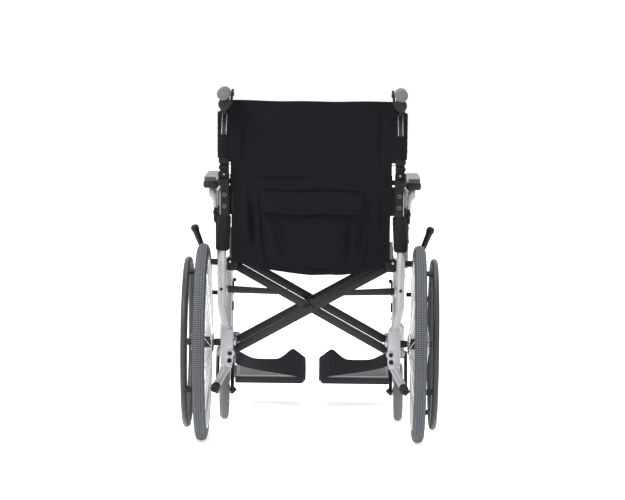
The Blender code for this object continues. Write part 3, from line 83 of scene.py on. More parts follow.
tyre_low, tyre_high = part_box("tyre_r")
AXLE = (tyre_low + tyre_high) / 2
AXLE_Y = AXLE.y
SIDE_BODY = {"r": "right_side", "l": "left_side"}
BACK_TILT = radians(7)
TILT_Z = 0.48
LEAN = (
    Matrix.Translation((0, 0, TILT_Z))
    @ Matrix.Rotation(BACK_TILT, 4, "X")
    @ Matrix.Translation((0, 0, -TILT_Z))
)
print("axle at", [round(x, 4) for x in AXLE])

# %% [markdown]
# ## The camera
# A product picture of a chair is taken from far away with a long lens, so that its two sides stay parallel.
# The wheel is 525 mm across and 197 pixels high in the picture, which gives the lens and the distance between
# them. A camera at a known point and with a given turn is simpler here than one that tracks an empty.

# %% Camera
LENS = 165
DISTANCE = 7.6
AZIMUTH = radians(0.5)
ELEVATION = radians(5)
ROLL = radians(0.6)
AIM = Vector((0.0027, AXLE_Y, 0.511))
away = Vector((sin(AZIMUTH) * cos(ELEVATION), -cos(AZIMUTH) * cos(ELEVATION), sin(ELEVATION)))
camera = bpy.data.objects.new("camera", bpy.data.cameras.new("camera"))
camera.data.lens = LENS
camera.data.sensor_width = 36
camera.data.clip_end = 60
camera.location = AIM + away * DISTANCE
turn = (-away).to_track_quat("-Z", "Y").to_matrix().to_4x4() @ Matrix.Rotation(ROLL, 4, "Z")
camera.rotation_euler = turn.to_euler()
bpy.context.scene.collection.objects.link(camera)
bpy.context.scene.camera = camera
print("camera", [round(x, 3) for x in camera.location])

# %% [markdown]
# ## Shader maths
# A finish is a graph of nodes. Written out link by link it is long and hard to read, so a small class wraps
# an output socket and turns plain arithmetic into Math nodes. One method makes every other kind of node.


# %% Shader maths
class Wire:
    """An output socket. Arithmetic on it adds Math nodes to its material."""

    def __init__(self, socket):
        self.socket = socket

    def node(self, kind, settings, values, output=0):
        return add_node(self.socket.id_data, kind, settings, values, output)

    def maths(self, operation, *values):
        return self.node("ShaderNodeMath", {"operation": operation}, dict(enumerate(values)))

    def __add__(self, other):
        return self.maths("ADD", self, other)

    def __sub__(self, other):
        return self.maths("SUBTRACT", self, other)

    def __mul__(self, other):
        return self.maths("MULTIPLY", self, other)

    def __truediv__(self, other):
        return self.maths("DIVIDE", self, other)

    def __pow__(self, other):
        return self.maths("POWER", self, other)

    def sine(self):
        return self.maths("SINE", self)

    __radd__ = __add__
    __rmul__ = __mul__


def add_node(tree, kind, settings, values, output=0):
    """A node with its settings, and its sockets linked or set."""
    node = tree.nodes.new(kind)
    for name, value in settings.items():
        setattr(node, name, value)
    for name, value in values.items():
        if isinstance(value, Wire):
            tree.links.new(value.socket, node.inputs[name])
        else:
            node.inputs[name].default_value = value
    return Wire(node.outputs[output])


# %% A finish
class Finish:
    """A material with helpers for the patterns that this chair's finishes use."""

    def __init__(self, name, colour, roughness, **constants):
        self.material = bpy.data.materials.new(name)
        self.material.use_nodes = True
        self.material.diffuse_color = (*colour, 1)
        self.tree = self.material.node_tree
        self.shader = self.tree.nodes["Principled BSDF"]
        self.set("Base Color", (*colour, 1))
        self.set("Roughness", roughness)
        for socket, value in constants.items():
            self.set(socket.replace("_", " "), value)
        self.place = self.node("ShaderNodeTexCoord", {}, {}, "Object")

    def node(self, kind, settings, values, output=0):
        return add_node(self.tree, kind, settings, values, output)

    def set(self, socket, value):
        if isinstance(value, Wire):
            self.tree.links.new(value.socket, self.shader.inputs[socket])
        else:
            self.shader.inputs[socket].default_value = value

    def axis(self, letter):
        return self.node("ShaderNodeSeparateXYZ", {}, {"Vector": self.place}, letter)

    def noise(self, scale, detail=3.0, place=None):
        return self.node(
            "ShaderNodeTexNoise", {}, {"Vector": place or self.place, "Scale": scale, "Detail": detail}, "Fac"
        )

    def stretched(self, scale):
        return self.node("ShaderNodeMapping", {}, {"Vector": self.place, "Scale": scale})

    def colours(self, share, first, second):
        node = self.tree.nodes.new("ShaderNodeMix")
        node.data_type = "RGBA"
        for socket, value in ((0, share), (6, first), (7, second)):
            if isinstance(value, Wire):
                self.tree.links.new(value.socket, node.inputs[socket])
            else:
                node.inputs[socket].default_value = value if socket == 0 else (*value, 1)
        return Wire(node.outputs[2])

    def bump(self, height, distance, strength=1.0):
        self.set(
            "Normal",
            self.node("ShaderNodeBump", {}, {"Height": height, "Distance": distance, "Strength": strength}),
        )


print("shader helpers ready")

# %% [markdown]
# ## Finishes
# Each finish says what the real surface is made of. Painted metal has tiny flakes and a clear coat, powder
# coat has a pebbled skin, cloth has a weave, rubber has a fine mottle. The patterns sit on object coordinates
# in metres, so a weave of half a millimetre stays half a millimetre on every piece.


# %% Silver paint and bare metal
def silver_paint():
    """Satin silver paint: pale flakes under a thin coat, a little duller in patches."""
    finish = Finish(
        "silver_paint", (0.34, 0.345, 0.36), 0.34, Metallic=0.5, Coat_Weight=0.25, Coat_Roughness=0.15
    )
    flakes = finish.noise(2600, 2)
    patches = finish.noise(7, 3)
    finish.set(
        "Base Color", finish.colours(flakes * 0.6 + patches * 0.4, (0.235, 0.24, 0.255), (0.4, 0.405, 0.42))
    )
    finish.set("Roughness", patches * 0.2 + 0.24)
    finish.bump(flakes, 0.0001, 0.25)
    return finish.material


def brushed_metal(name, colour, roughness):
    """Rolled or turned metal, with fine scratches that run one way."""
    finish = Finish(name, colour, roughness, Metallic=0.9)
    scratches = finish.noise(1.0, 4, finish.stretched((60, 900, 900)))
    smudges = finish.noise(22, 3)
    finish.set("Roughness", scratches * 0.22 + smudges * 0.12 + (roughness - 0.14))
    darker = tuple(0.72 * part for part in colour)
    finish.set("Base Color", finish.colours(smudges * scratches * 1.8, darker, colour))
    finish.bump(scratches, 0.0001, 0.3)
    return finish.material


SILVER = silver_paint()
ALUMINIUM = brushed_metal("rim_aluminium", (0.74, 0.75, 0.77), 0.3)
STEEL = brushed_metal("spoke_steel", (0.68, 0.69, 0.7), 0.22)
ZINC = brushed_metal("zinc_screw", (0.5, 0.5, 0.5), 0.35)


# %% Coatings and moulded plastics
def pebbled(name, colour, lighter, roughness, grain, depth, shine=0.5, coat=0.0):
    """A powder coat or a moulded plastic: fine pebbles, faint cloudiness, and a colour a little lighter on the
    pebbles' high points.
    """
    finish = Finish(name, colour, roughness, Specular_IOR_Level=shine, Coat_Weight=coat)
    pebbles = finish.noise(grain, 2)
    clouds = finish.noise(14, 4)
    finish.set("Base Color", finish.colours(clouds * 0.7 + pebbles * 0.3, colour, lighter))
    finish.set("Roughness", clouds * 0.16 + pebbles * 0.1 + (roughness - 0.13))
    finish.bump(pebbles, depth, 0.6)
    return finish.material


DULL = 0.22
BLACK_COAT = pebbled("black_coat", (0.007, 0.007, 0.0075), (0.014, 0.014, 0.015), 0.42, 1400, 0.0002, 0.3)
BLACK_PLASTIC = pebbled(
    "black_plastic", (0.007, 0.007, 0.0075), (0.014, 0.014, 0.0145), 0.5, 2200, 0.0001, DULL
)
PLATE_PLASTIC = pebbled(
    "plate_plastic", (0.014, 0.014, 0.016), (0.026, 0.026, 0.029), 0.5, 1100, 0.0003, DULL
)
# The tread ribs are the tyre's own rubber painted paler: a painted highlight on the rib tops.
RIB_RUBBER_PAINTED_LIGHT = pebbled("rib_rubber_painted_light", (0.1, 0.108, 0.122), (0.13, 0.14, 0.157), 0.6, 900, 0.0002, DULL)
PLATE_TREAD = pebbled("plate_tread", (0.07, 0.071, 0.077), (0.105, 0.106, 0.113), 0.55, 1100, 0.0003)
# A pale grey for the footplate's rear top edge: a painted highlight where the edge catches the light.
PLATE_EDGE_HIGHLIGHT = pebbled("plate_edge_painted_highlight", (0.2, 0.202, 0.21), (0.27, 0.272, 0.28), 0.5, 1100, 0.0002)
BLACK_STEEL = pebbled(
    "black_steel", (0.0035, 0.0035, 0.0038), (0.008, 0.008, 0.0085), 0.46, 1500, 0.0002, 0.16
)
RIM_COAT = pebbled("handrim_coat", (0.022, 0.023, 0.026), (0.042, 0.043, 0.047), 0.36, 1500, 0.0001, DULL)
SCREW_GREY = pebbled("screw_grey", (0.06, 0.06, 0.062), (0.1, 0.1, 0.103), 0.4, 1500, 0.0001)
GRIP_RUBBER = pebbled("grip_rubber", (0.075, 0.08, 0.088), (0.12, 0.126, 0.136), 0.62, 1700, 0.0003, DULL)
CASTOR_RUBBER = pebbled("castor_rubber", (0.095, 0.098, 0.108), (0.14, 0.143, 0.155), 0.66, 900, 0.0002)
CASTOR_PLASTIC = pebbled("castor_plastic", (0.1, 0.1, 0.105), (0.14, 0.14, 0.145), 0.45, 1500, 0.0001)
PAD_SKIN = pebbled("arm_pad_skin", (0.02, 0.02, 0.021), (0.032, 0.032, 0.034), 0.34, 700, 0.0003, coat=0.12)
FOAM = pebbled("foam_skin", (0.006, 0.006, 0.0062), (0.012, 0.012, 0.0125), 0.8, 1900, 0.0006, 0.12)


def tyre_rubber():
    """Dark grey tyre rubber, with painted shade deep in the tread and a painted highlight towards its crown,
    and dust in the mottle.
    """
    finish = Finish("tyre_rubber", (0.05, 0.052, 0.056), 0.72)
    across = finish.axis("Y") - AXLE.y
    up = finish.axis("Z") - AXLE.z
    radius = (across * across + up * up) ** 0.5
    # This mask paints the tread's grooves darker and its crown paler: painted shade and a painted highlight.
    groove_shade_crown_light = finish.node("ShaderNodeMapRange", {}, {"Value": radius, "From Min": 0.2592, "From Max": 0.2618})
    mottle = finish.noise(260, 4)
    dust = finish.noise(34, 4)
    finish.set(
        "Base Color", finish.colours(groove_shade_crown_light * 0.8 + dust * 0.2, (0.022, 0.024, 0.028), (0.125, 0.135, 0.152))
    )
    finish.set("Roughness", mottle * 0.2 + 0.6)
    finish.bump(mottle, 0.0003, 0.4)
    return finish.material


TYRE_RUBBER = tyre_rubber()


# %% Cloth
def woven(name, colour, lighter, pitch, depth, sheen):
    """Plain weave: two sets of threads cross, and each lies over and under the other in turn."""
    finish = Finish(name, colour, 0.86, Sheen_Weight=sheen, Sheen_Roughness=0.45, Specular_IOR_Level=0.08)
    turn = 2 * pi / pitch
    across = finish.axis("X") * turn
    along = (finish.axis("Z") + finish.axis("Y")) * turn
    over = (across / 2).sine() * (along / 2).sine()
    height = over * 0.5 + across.sine() * 0.25 + along.sine() * 0.25
    fuzz = finish.noise(1500, 3)
    faded = finish.noise(9, 4)
    # Raised threads are painted lighter than the hollows between them: painted light and shade on the weave,
    # with random fuzz and fading.
    finish.set("Base Color", finish.colours(height * 0.2 + fuzz * 0.3 + faded * 0.5, colour, lighter))
    finish.set("Roughness", fuzz * 0.12 + 0.8)
    finish.bump(height + fuzz * 0.4, depth, 0.5)
    return finish.material


BACK_CLOTH = woven("back_cloth", (0.0044, 0.0043, 0.0058), (0.0078, 0.0076, 0.01), 0.0012, 0.0002, 0.02)
SEAT_CLOTH = woven("seat_cloth", (0.006, 0.006, 0.0075), (0.01, 0.01, 0.012), 0.0012, 0.0002, 0.02)
WEBBING = woven("webbing", (0.009, 0.009, 0.0105), (0.017, 0.017, 0.019), 0.0018, 0.0004, 0.04)
LOOP_CLOTH = woven("loop_cloth", (0.017, 0.0165, 0.02), (0.03, 0.029, 0.034), 0.0018, 0.0004, 0.06)
# The back's cloth again, painted much paler: painted light from the side on the panel's turned-forward edges.
RETURN_CLOTH_PAINTED_LIGHT = woven("return_cloth_painted_light", (0.11, 0.11, 0.116), (0.16, 0.16, 0.168), 0.0018, 0.0004, 0.06)
THREAD = pebbled("thread", (0.004, 0.004, 0.005), (0.009, 0.009, 0.011), 0.7, 3000, 0.0001, 0.1)
print(len(bpy.data.materials), "materials")

# %% [markdown]
# ## Shapes
# Nearly every part of a wheelchair is bent tube, sheet or a turned part. So three tools do most of the work:
# a section pushed along a path, an outline pushed through a thickness, and a profile spun about an axle. All
# of them use the rear axle line as y 0, and the last step moves each piece to the frame's own middle.


# %% Paths
def lean(x, y, z):
    """A point of the back, given along the leaning upright."""
    return LEAN @ Vector((x, y, z))


def rounded(points, radius, steps=7):
    """A path through these points whose corners are arcs."""
    path = [Vector(points[0])]
    for before, corner, after in zip(points, points[1:], points[2:]):
        corner = Vector(corner)
        back = Vector(before) - corner
        ahead = Vector(after) - corner
        half = back.angle(ahead) / 2
        reach = min(radius / tan(half), 0.45 * back.length, 0.45 * ahead.length)
        back.normalize()
        ahead.normalize()
        centre = corner + (back + ahead).normalized() * reach / cos(half)
        start = corner + back * reach - centre
        end = corner + ahead * reach - centre
        turn = pi - 2 * half
        for i in range(steps + 1):
            share = i / steps
            mix = start * sin((1 - share) * turn) + end * sin(share * turn)
            path.append(centre + mix / sin(turn))
    path.append(Vector(points[-1]))
    return path


def facing(ahead, up):
    """A turn that sends Z ahead and keeps Y as near to up as it can."""
    ahead = ahead.normalized()
    side = Vector(up).cross(ahead).normalized()
    return Matrix((side, ahead.cross(side), ahead)).transposed().to_4x4()


# %% A section pushed along a path
def circle(radius, sides=20):
    """A round section."""
    return lambda bm: bmesh.ops.create_circle(bm, segments=sides, radius=radius)["verts"]


def squared(radius, sides=20):
    """A circle whose four sides are pressed flatter."""

    def draw(bm):
        ring = bmesh.ops.create_circle(bm, segments=sides, radius=radius)["verts"]
        for vert in ring:
            grown = max(abs(vert.co.x), abs(vert.co.y)) / radius
            vert.co *= 1 / (0.35 + 0.65 * grown)
        return ring

    return draw


def strip(wide, thick):
    """A flat section, thick along up."""

    def draw(bm):
        corners = [
            bm.verts.new((x, y, 0))
            for x, y in ((-wide, -thick), (wide, -thick), (wide, thick), (-wide, thick))
        ]
        for first, second in zip(corners, corners[1:] + corners[:1]):
            bm.edges.new((first, second))
        return corners

    return draw


def swept(path, section, up=(1, 0, 0), sizes=None):
    """A bar: the section is extruded from point to point of the path, and capped."""
    path = [Vector(point) for point in path]
    bm = bmesh.new()
    ring = section(bm)
    edges = bm.edges[:]
    ends = [edges]
    before = Matrix()
    for i, point in enumerate(path):
        ahead = path[min(i + 1, len(path) - 1)] - path[max(i - 1, 0)]
        place = Matrix.Translation(point) @ facing(ahead, up)
        if sizes:
            wide, thick = sizes[i] if hasattr(sizes[i], "__len__") else (sizes[i], sizes[i])
            place = place @ Matrix.Diagonal((wide, thick, 1, 1))
        if i:
            grown = bmesh.ops.extrude_edge_only(bm, edges=edges)["geom"]
            ring = [part for part in grown if isinstance(part, bmesh.types.BMVert)]
            edges = [part for part in grown if isinstance(part, bmesh.types.BMEdge) and part.is_boundary]
        bmesh.ops.transform(bm, matrix=place @ before.inverted(), verts=ring)
        before = place
    ends.append(edges)
    for edges in ends:
        bmesh.ops.edgeloop_fill(bm, edges=edges)
    return bm


# %% Plates, blocks, rods and turned parts
def softened(bm, width, segments=2):
    """Rounds the edges that are sharper than 30 degrees."""
    bmesh.ops.recalc_face_normals(bm, faces=bm.faces)
    sharp = [edge for edge in bm.edges if len(edge.link_faces) == 2 and edge.calc_face_angle() > radians(30)]
    settings = {"profile": 0.5, "affect": "EDGES", "material": -1, "clamp_overlap": True}
    bmesh.ops.bevel(bm, geom=sharp, offset=width, segments=segments, **settings)
    return bm


def block(low, high, edge=0.0015):
    """A box between two corners."""
    bm = bmesh.new()
    bmesh.ops.create_cube(bm, size=1)
    bmesh.ops.scale(bm, vec=Vector(high) - Vector(low), verts=bm.verts)
    bmesh.ops.translate(bm, vec=(Vector(high) + Vector(low)) / 2, verts=bm.verts)
    return softened(bm, edge) if edge else bm


def plate(outline, low, high, across="X", edge=0.0008):
    """An outline extruded across one axis: it holds the other two coordinates, in their order."""
    axis = "XYZ".index(across)
    bm = bmesh.new()
    corners = []
    for point in outline:
        spot = list(point)
        spot.insert(axis, low)
        corners.append(bm.verts.new(spot))
    face = bm.faces.new(corners)
    grown = bmesh.ops.extrude_face_region(bm, geom=[face])["geom"]
    shift = Vector((0, 0, 0))
    shift[axis] = high - low
    bmesh.ops.translate(bm, vec=shift, verts=[part for part in grown if isinstance(part, bmesh.types.BMVert)])
    return softened(bm, edge)


def rod(start, end, radius, sides=20, end_radius=None, edge=0.0006):
    """A round bar between two points, or a cone when its end has another radius."""
    start = Vector(start)
    end = Vector(end)
    bm = bmesh.new()
    far = radius if end_radius is None else end_radius
    bmesh.ops.create_cone(
        bm, cap_ends=True, segments=sides, radius1=radius, radius2=far, depth=(end - start).length
    )
    matrix = (
        Matrix.Translation((start + end) / 2) @ (end - start).to_track_quat("Z", "Y").to_matrix().to_4x4()
    )
    bmesh.ops.transform(bm, matrix=matrix, verts=bm.verts)
    return softened(bm, edge) if edge else bm


def along_y(spot, start, end, radius, sides=20, edge=0.0006):
    """A rod that runs forward from y start to y end, at one x and z."""
    return rod((spot[0], start, spot[1]), (spot[0], end, spot[1]), radius, sides, edge=edge)


def turned(profile, centre, steps=64, closed=True, axis="X"):
    """(distance along the axis, radius) points spun about a line through centre."""
    bm = bmesh.new()
    rim = [bm.verts.new((along, 0, radius)) for along, radius in profile]
    edges = [bm.edges.new(ends) for ends in zip(rim, rim[1:])]
    if closed and profile[0][1] and profile[-1][1]:
        edges.append(bm.edges.new((rim[-1], rim[0])))
    bmesh.ops.spin(
        bm, geom=rim + edges, cent=(0, 0, 0), axis=(1, 0, 0), angle=2 * pi, steps=steps, use_merge=True
    )
    bmesh.ops.remove_doubles(bm, verts=bm.verts, dist=1e-6)
    if axis != "X":
        way = {"Y": Matrix.Rotation(pi / 2, 4, "Z"), "Z": Matrix.Rotation(-pi / 2, 4, "Y")}[axis]
        bmesh.ops.transform(bm, matrix=way, verts=bm.verts)
    bmesh.ops.translate(bm, vec=centre, verts=bm.verts)
    return bm


def outward(angle):
    """The direction across an axle at an angle from straight up, forward first."""
    return Vector((0, sin(angle), cos(angle)))


def mirrored(half):
    """A profile that goes on with its own mirror image."""
    return half + [(-along, radius) for along, radius in reversed(half)]


def bar_outline(start, start_radius, end, end_radius, steps=10):
    """The outline of a flat bar with a round end about each of two points."""
    along = Vector(end) - Vector(start)
    heading = atan2(along.y, along.x)
    side = acos((start_radius - end_radius) / along.length)
    outline = []
    for centre, radius, low, high in (
        (start, start_radius, heading + side, heading + 2 * pi - side),
        (end, end_radius, heading - side, heading + side),
    ):
        for i in range(steps + 1):
            angle = low + (high - low) * i / steps
            outline.append((centre[0] + radius * cos(angle), centre[1] + radius * sin(angle)))
    return outline


def joined(*parts):
    """Several shells gathered in one."""
    bm = bmesh.new()
    for part in parts:
        mesh = bpy.data.meshes.new("part")
        part.to_mesh(mesh)
        part.free()
        bm.from_mesh(mesh)
        bpy.data.meshes.remove(mesh)
    return bm


def moved(bm, matrix):
    """The same shape, turned or shifted."""
    bmesh.ops.transform(bm, matrix=matrix, verts=bm.verts)
    return bm


# %% [markdown]
# ## From a shape to a piece
# A piece is a shape with a finish, a name and a body that carries it. The chair's two sides mirror each
# other, so one call makes both. Mirroring turns a shell inside out, and the normals are worked out again
# after it.


# %% Pieces
def piece(name, bm, finish, body, nodes=(), mirror=False, smooth=32):
    """Puts a shape in the scene, in the frame's own place, and lets a body carry it, if one is named."""
    if mirror:
        bmesh.ops.scale(bm, vec=(-1, 1, 1), verts=bm.verts)
    bmesh.ops.translate(bm, vec=(0, AXLE_Y, 0), verts=bm.verts)
    bmesh.ops.recalc_face_normals(bm, faces=bm.faces)
    mesh = bpy.data.meshes.new(name)
    bm.to_mesh(mesh)
    bm.free()
    mesh.materials.append(finish)
    mesh.shade_smooth()
    mesh.set_sharp_from_angle(angle=radians(smooth))
    made = bpy.data.objects.new(name, mesh)
    bpy.context.scene.collection.objects.link(made)
    if body:
        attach(made, body)
    if nodes:
        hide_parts(*nodes)
    return made


def both(name, bm, finish, body, node=None, smooth=32):
    """The right-hand piece and its mirror image."""
    made = []
    for side, word, shape in (("r", "right", bm.copy()), ("l", "left", bm)):
        carrier = SIDE_BODY[side] if body == "side" else f"{body}_{side}"
        nodes = (f"{node}_{side}",) if node else ()
        made.append(piece(f"{word}_{name}", shape, finish, carrier, nodes, side == "l", smooth))
    return made


STITCH = 0.0022
STITCH_PITCH = 0.0034
THREAD_RADIUS = 0.00032


def thread_along(path):
    """A row of stitches: short thick threads laid end to end along a path."""
    stitches = []
    path = [Vector(point) for point in path]
    travelled = 0.0
    for start, end in zip(path, path[1:]):
        span = (end - start).length
        way = (end - start) / span
        while travelled + STITCH < span:
            spot = start + way * travelled
            stitches.append(rod(spot, spot + way * STITCH, THREAD_RADIUS, 5, edge=0))
            travelled += STITCH_PITCH
        travelled = max(travelled - span, 0.0)
    return joined(*stitches)


print("shape helpers ready")

# %% [markdown]
# ## Rear wheels
# A 20 inch wheel is a rolled aluminium rim on crossed steel spokes, with a moulded black hub. The spokes
# leave the two hub flanges in opposite directions, which is what lets thin wires carry a twist. The rim and
# the hub are spun profiles, and each spoke is a thin rod with its threaded nipple in the rim.

# %% Rim, hub and spokes
WHEEL = Vector((0.287, 0, AXLE.z))
RIM_OUT = 0.2305
RIM_IN = 0.2165
FLANGE_X = 0.027
SPOKES = 28
rim = turned(
    [
        (-0.0152, 0.2312), (-0.0152, 0.2262), (-0.0134, 0.2225), (-0.0084, 0.2174), (-0.0055, RIM_IN),
        (0.0055, RIM_IN), (0.0084, 0.2174), (0.0134, 0.2225), (0.0152, 0.2262), (0.0152, 0.2312),
        (0.0132, 0.2312), (0.0132, 0.228), (0.0, 0.2262), (-0.0132, 0.228), (-0.0132, 0.2312),
    ],
    WHEEL,
    112,
)
valve_way = outward(radians(205))
valve = rod(WHEEL + valve_way * (RIM_IN + 0.002), WHEEL + valve_way * (RIM_IN - 0.024), 0.0027, 12)
both("rim", rim, ALUMINIUM, "rear_wheel", "wheel")
both("valve", valve, ZINC, "rear_wheel", None)

spokes = []
for number in range(SPOKES):
    side = 1 if number % 2 else -1
    rim_angle = 2 * pi * number / SPOKES
    hub_angle = rim_angle + side * radians(58)
    start = WHEEL + Vector((side * FLANGE_X, 0.021 * sin(hub_angle), 0.021 * cos(hub_angle)))
    end = WHEEL + Vector((side * 0.0035, RIM_IN * sin(rim_angle), RIM_IN * cos(rim_angle)))
    way = (end - start).normalized()
    spokes.append(rod(start, end, 0.001, 8, edge=0))
    spokes.append(rod(end - way * 0.013, end + way * 0.002, 0.0021, 8, edge=0.0003))
    spokes.append(
        rod(
            start - Vector((side * 0.004, 0, 0)), start + Vector((side * 0.0025, 0, 0)), 0.0017, 8,
            edge=0.0004,
        )
    )
both("spokes", joined(*spokes), STEEL, "rear_wheel", None)

hub_half = [
    (0.0296, 0.0068), (0.0296, 0.0135), (0.0289, 0.0152), (0.0289, 0.0235), (0.0283, 0.0243),
    (0.0257, 0.0243), (0.0251, 0.0235), (0.0248, 0.0165), (0.022, 0.015), (0.015, 0.0144), (0.006, 0.015),
    (0.0052, 0.0156),
]
hub = turned(mirrored(hub_half), WHEEL, 48)
both("hub", hub, BLACK_PLASTIC, "rear_wheel", None)
print("rim", 2 * RIM_OUT, "m across, with", SPOKES, "spokes")

# %% [markdown]
# The tyre is solid grey rubber, and its tread is four rows of small cross ribs. Cutting each groove would
# need hundreds of Booleans. It is quicker to build one rib for each row and let the spin tool repeat it round
# the wheel.

# %% Tyres
TYRE_RADIUS = 0.2625
RIBS = 292
tyre_half = [
    (0.015, 0.229), (0.0154, 0.2312), (0.016, 0.236), (0.0162, 0.2425), (0.0157, 0.2484), (0.0138, 0.2538),
    (0.0117, 0.2566), (0.011, 0.2568), (0.0104, 0.257), (0.0064, 0.2588), (0.0056, 0.2592), (0.001, 0.2594),
]
tyre = turned(mirrored(tyre_half), WHEEL, 128)
CROWN_FALL = 32
RIB_ROWS = ((0.003, 0.0023), (-0.003, 0.0023), (0.009, 0.0024), (-0.009, 0.0024))
rib_parts = []
for across, wide in RIB_ROWS:
    reach = TYRE_RADIUS - 0.0002 - CROWN_FALL * across**2
    rib_parts.append(block((across - wide, -0.0016, 0.256), (across + wide, 0.0016, reach), 0))
ribs = joined(*rib_parts)
bmesh.ops.spin(
    ribs, geom=ribs.verts[:] + ribs.edges[:] + ribs.faces[:], cent=(0, 0, 0), axis=(1, 0, 0), angle=2 * pi,
    steps=RIBS, use_duplicate=True, use_merge=False,
)
bmesh.ops.remove_doubles(ribs, verts=ribs.verts, dist=1e-6)
bmesh.ops.translate(ribs, vec=WHEEL, verts=ribs.verts)
both("tyre", tyre, TYRE_RUBBER, "rear_wheel", "tyre")
both("tread_ribs", ribs, RIB_RUBBER_PAINTED_LIGHT, "rear_wheel", None)
print("tyre", 2 * TYRE_RADIUS, "m across, with", RIBS, "ribs")

# %% [markdown]
# The handrim is a coated steel ring beside the wheel. It stands off on short tabs, so that fingers close
# round it.

# %% Handrims
HANDRIM_X = 0.326
HANDRIM_RADIUS = 0.218
HANDRIM_TUBE = 0.0095
ring_profile = [
    (HANDRIM_TUBE * cos(2 * pi * i / 18), HANDRIM_RADIUS + HANDRIM_TUBE * sin(2 * pi * i / 18))
    for i in range(18)
]
handrim = turned(ring_profile, (HANDRIM_X, 0, WHEEL.z), 112)
RIM_TABS = 4
tabs = []
for number in range(RIM_TABS):
    angle = 2 * pi * number / RIM_TABS - radians(27)
    way = outward(angle)
    foot = WHEEL + Vector((0.015, 0, 0)) + way * 0.2225
    head = Vector((HANDRIM_X, 0, WHEEL.z)) + way * (HANDRIM_RADIUS - 0.001)
    tabs.append(swept([foot, foot + Vector((0.008, 0, 0)), head], strip(0.007, 0.0036), up=way))
    tabs.append(rod(foot, foot + Vector((0.005, 0, 0)), 0.0062, 12))
both("handrim", handrim, RIM_COAT, "rear_wheel", "handrim")
both("handrim_tabs", joined(*tabs), BLACK_STEEL, "rear_wheel", None)
print("handrim", 2 * HANDRIM_RADIUS, "m across at its middle")

# %% [markdown]
# ## Side frames
# Each side is bent tube: a rear upright that leans back, an upper rail that turns down into the front
# upright, and a lower rail. They are mitred and welded, and painted silver together, so one piece holds them
# all. A fillet of weld shows as a thin collar where two tubes meet.

# %% Side frame tubes
TUBE = 0.0125
FRAME_X = 0.2365
BLOCK_X = 0.2225
POST_X = 0.2315
LOWER_RAIL_Z = 0.236
UPPER_RAIL_Z = 0.445
FRONT_Y = 0.395
CASTOR = Vector((0.243, 0.444, 0))
HANGER_Y = 0.437
LINK_PIVOT = (0.226, 0.397)
BRACE_X = 0.211


def upright_path(foot):
    """The middle line of the rear upright, from its foot to the hinge."""
    return rounded(
        [
            (BLOCK_X, 0, foot), (BLOCK_X, 0, 0.3), (FRAME_X, 0, 0.36), (FRAME_X, 0, TILT_Z),
            lean(FRAME_X, 0, 0.52), lean(POST_X, 0, 0.6), lean(POST_X, 0, 0.665),
        ],
        0.05,
        6,
    )


def weld(centre, axis, radius):
    """A bead of weld round a tube's end."""
    profile = [
        (-0.0022, radius), (-0.0012, radius + 0.0014), (0.0004, radius + 0.0019), (0.0016, radius + 0.0012)
    ]
    return turned(
        profile + [(0.0024, radius), (0.0024, radius - 0.002), (-0.0022, radius - 0.002)], centre, 28,
        axis=axis,
    )


corner = [(FRAME_X, 0, UPPER_RAIL_Z), (FRAME_X, FRONT_Y, UPPER_RAIL_Z), (FRAME_X, FRONT_Y, LOWER_RAIL_Z)]
tubes = [
    swept([point + Vector((0.0008, 0, 0)) for point in upright_path(0.275)], circle(0.0112, 24)),
    swept(rounded(corner, 0.06, 10), circle(TUBE, 24)),
    swept([(FRAME_X, 0.0215, LOWER_RAIL_Z), (FRAME_X, CASTOR.y, LOWER_RAIL_Z)], circle(TUBE, 24)),
    weld((FRAME_X, TUBE, UPPER_RAIL_Z), "Y", TUBE),
    weld((FRAME_X, FRONT_Y, LOWER_RAIL_Z + TUBE), "Z", TUBE),
    weld((FRAME_X, CASTOR.y - 0.017, LOWER_RAIL_Z), "Y", TUBE),
]
housing = [
    (-0.036, 0.007), (-0.036, 0.0165), (-0.034, 0.0175), (-0.031, 0.0175), (-0.03, 0.0168), (0.03, 0.0168)
]
housing += [(0.031, 0.0175), (0.034, 0.0175), (0.036, 0.0165), (0.036, 0.007)]
tubes.append(turned(housing, (CASTOR.x, CASTOR.y, 0.226), 36, axis="Z"))
print("side frame tubes", 2 * TUBE * 1000, "mm thick")

# %% Brackets on the side frame
HANGER_RING = [(-0.0075, 0.0118), (-0.0075, 0.0165), (-0.0065, 0.0175)]
HANGER_RING += [(0.0065, 0.0175), (0.0075, 0.0165), (0.0075, 0.0118)]
brackets = [
    rod((FRAME_X, HANGER_Y, 0.278), (FRAME_X, HANGER_Y, 0.286), 0.016, 32),
    block((FRAME_X - 0.008, FRONT_Y, 0.2785), (FRAME_X + 0.008, HANGER_Y, 0.2855)),
    turned(HANGER_RING, (FRAME_X, HANGER_Y, 0.3525), 36, axis="Z"),
    block((FRAME_X - 0.007, FRONT_Y, 0.346), (FRAME_X + 0.007, HANGER_Y - 0.013, 0.359)),
    block((0.222, 0, 0.386), (FRAME_X, 0.056, 0.408), 0.003),
    along_y(LINK_PIVOT, 0.052, 0.079, 0.004, 16),
    block((0.202, 0.3854, 0.227), (FRAME_X, 0.401, 0.245), 0.002),
    along_y((BRACE_X, LOWER_RAIL_Z), FRONT_Y, 0.361, 0.006, 20),
    block((FRAME_X + 0.004, 0.332, 0.433), (0.2655, 0.358, 0.511), 0.003),
    block((0.2635, 0.328, 0.503), (0.268, 0.362, 0.512), 0.0015),
    block((FRAME_X + 0.006, 0.338, 0.436), (0.2765, 0.352, 0.444), 0.0015),
]
both("side_frame", joined(*tubes, *brackets), SILVER, "side", "side_frame")
screw = along_y((0.238, 0.405), -TUBE + 0.0015, -TUBE - 0.0012, 0.0043, 18)
both("frame_screw", screw, BLACK_COAT, "side", None)
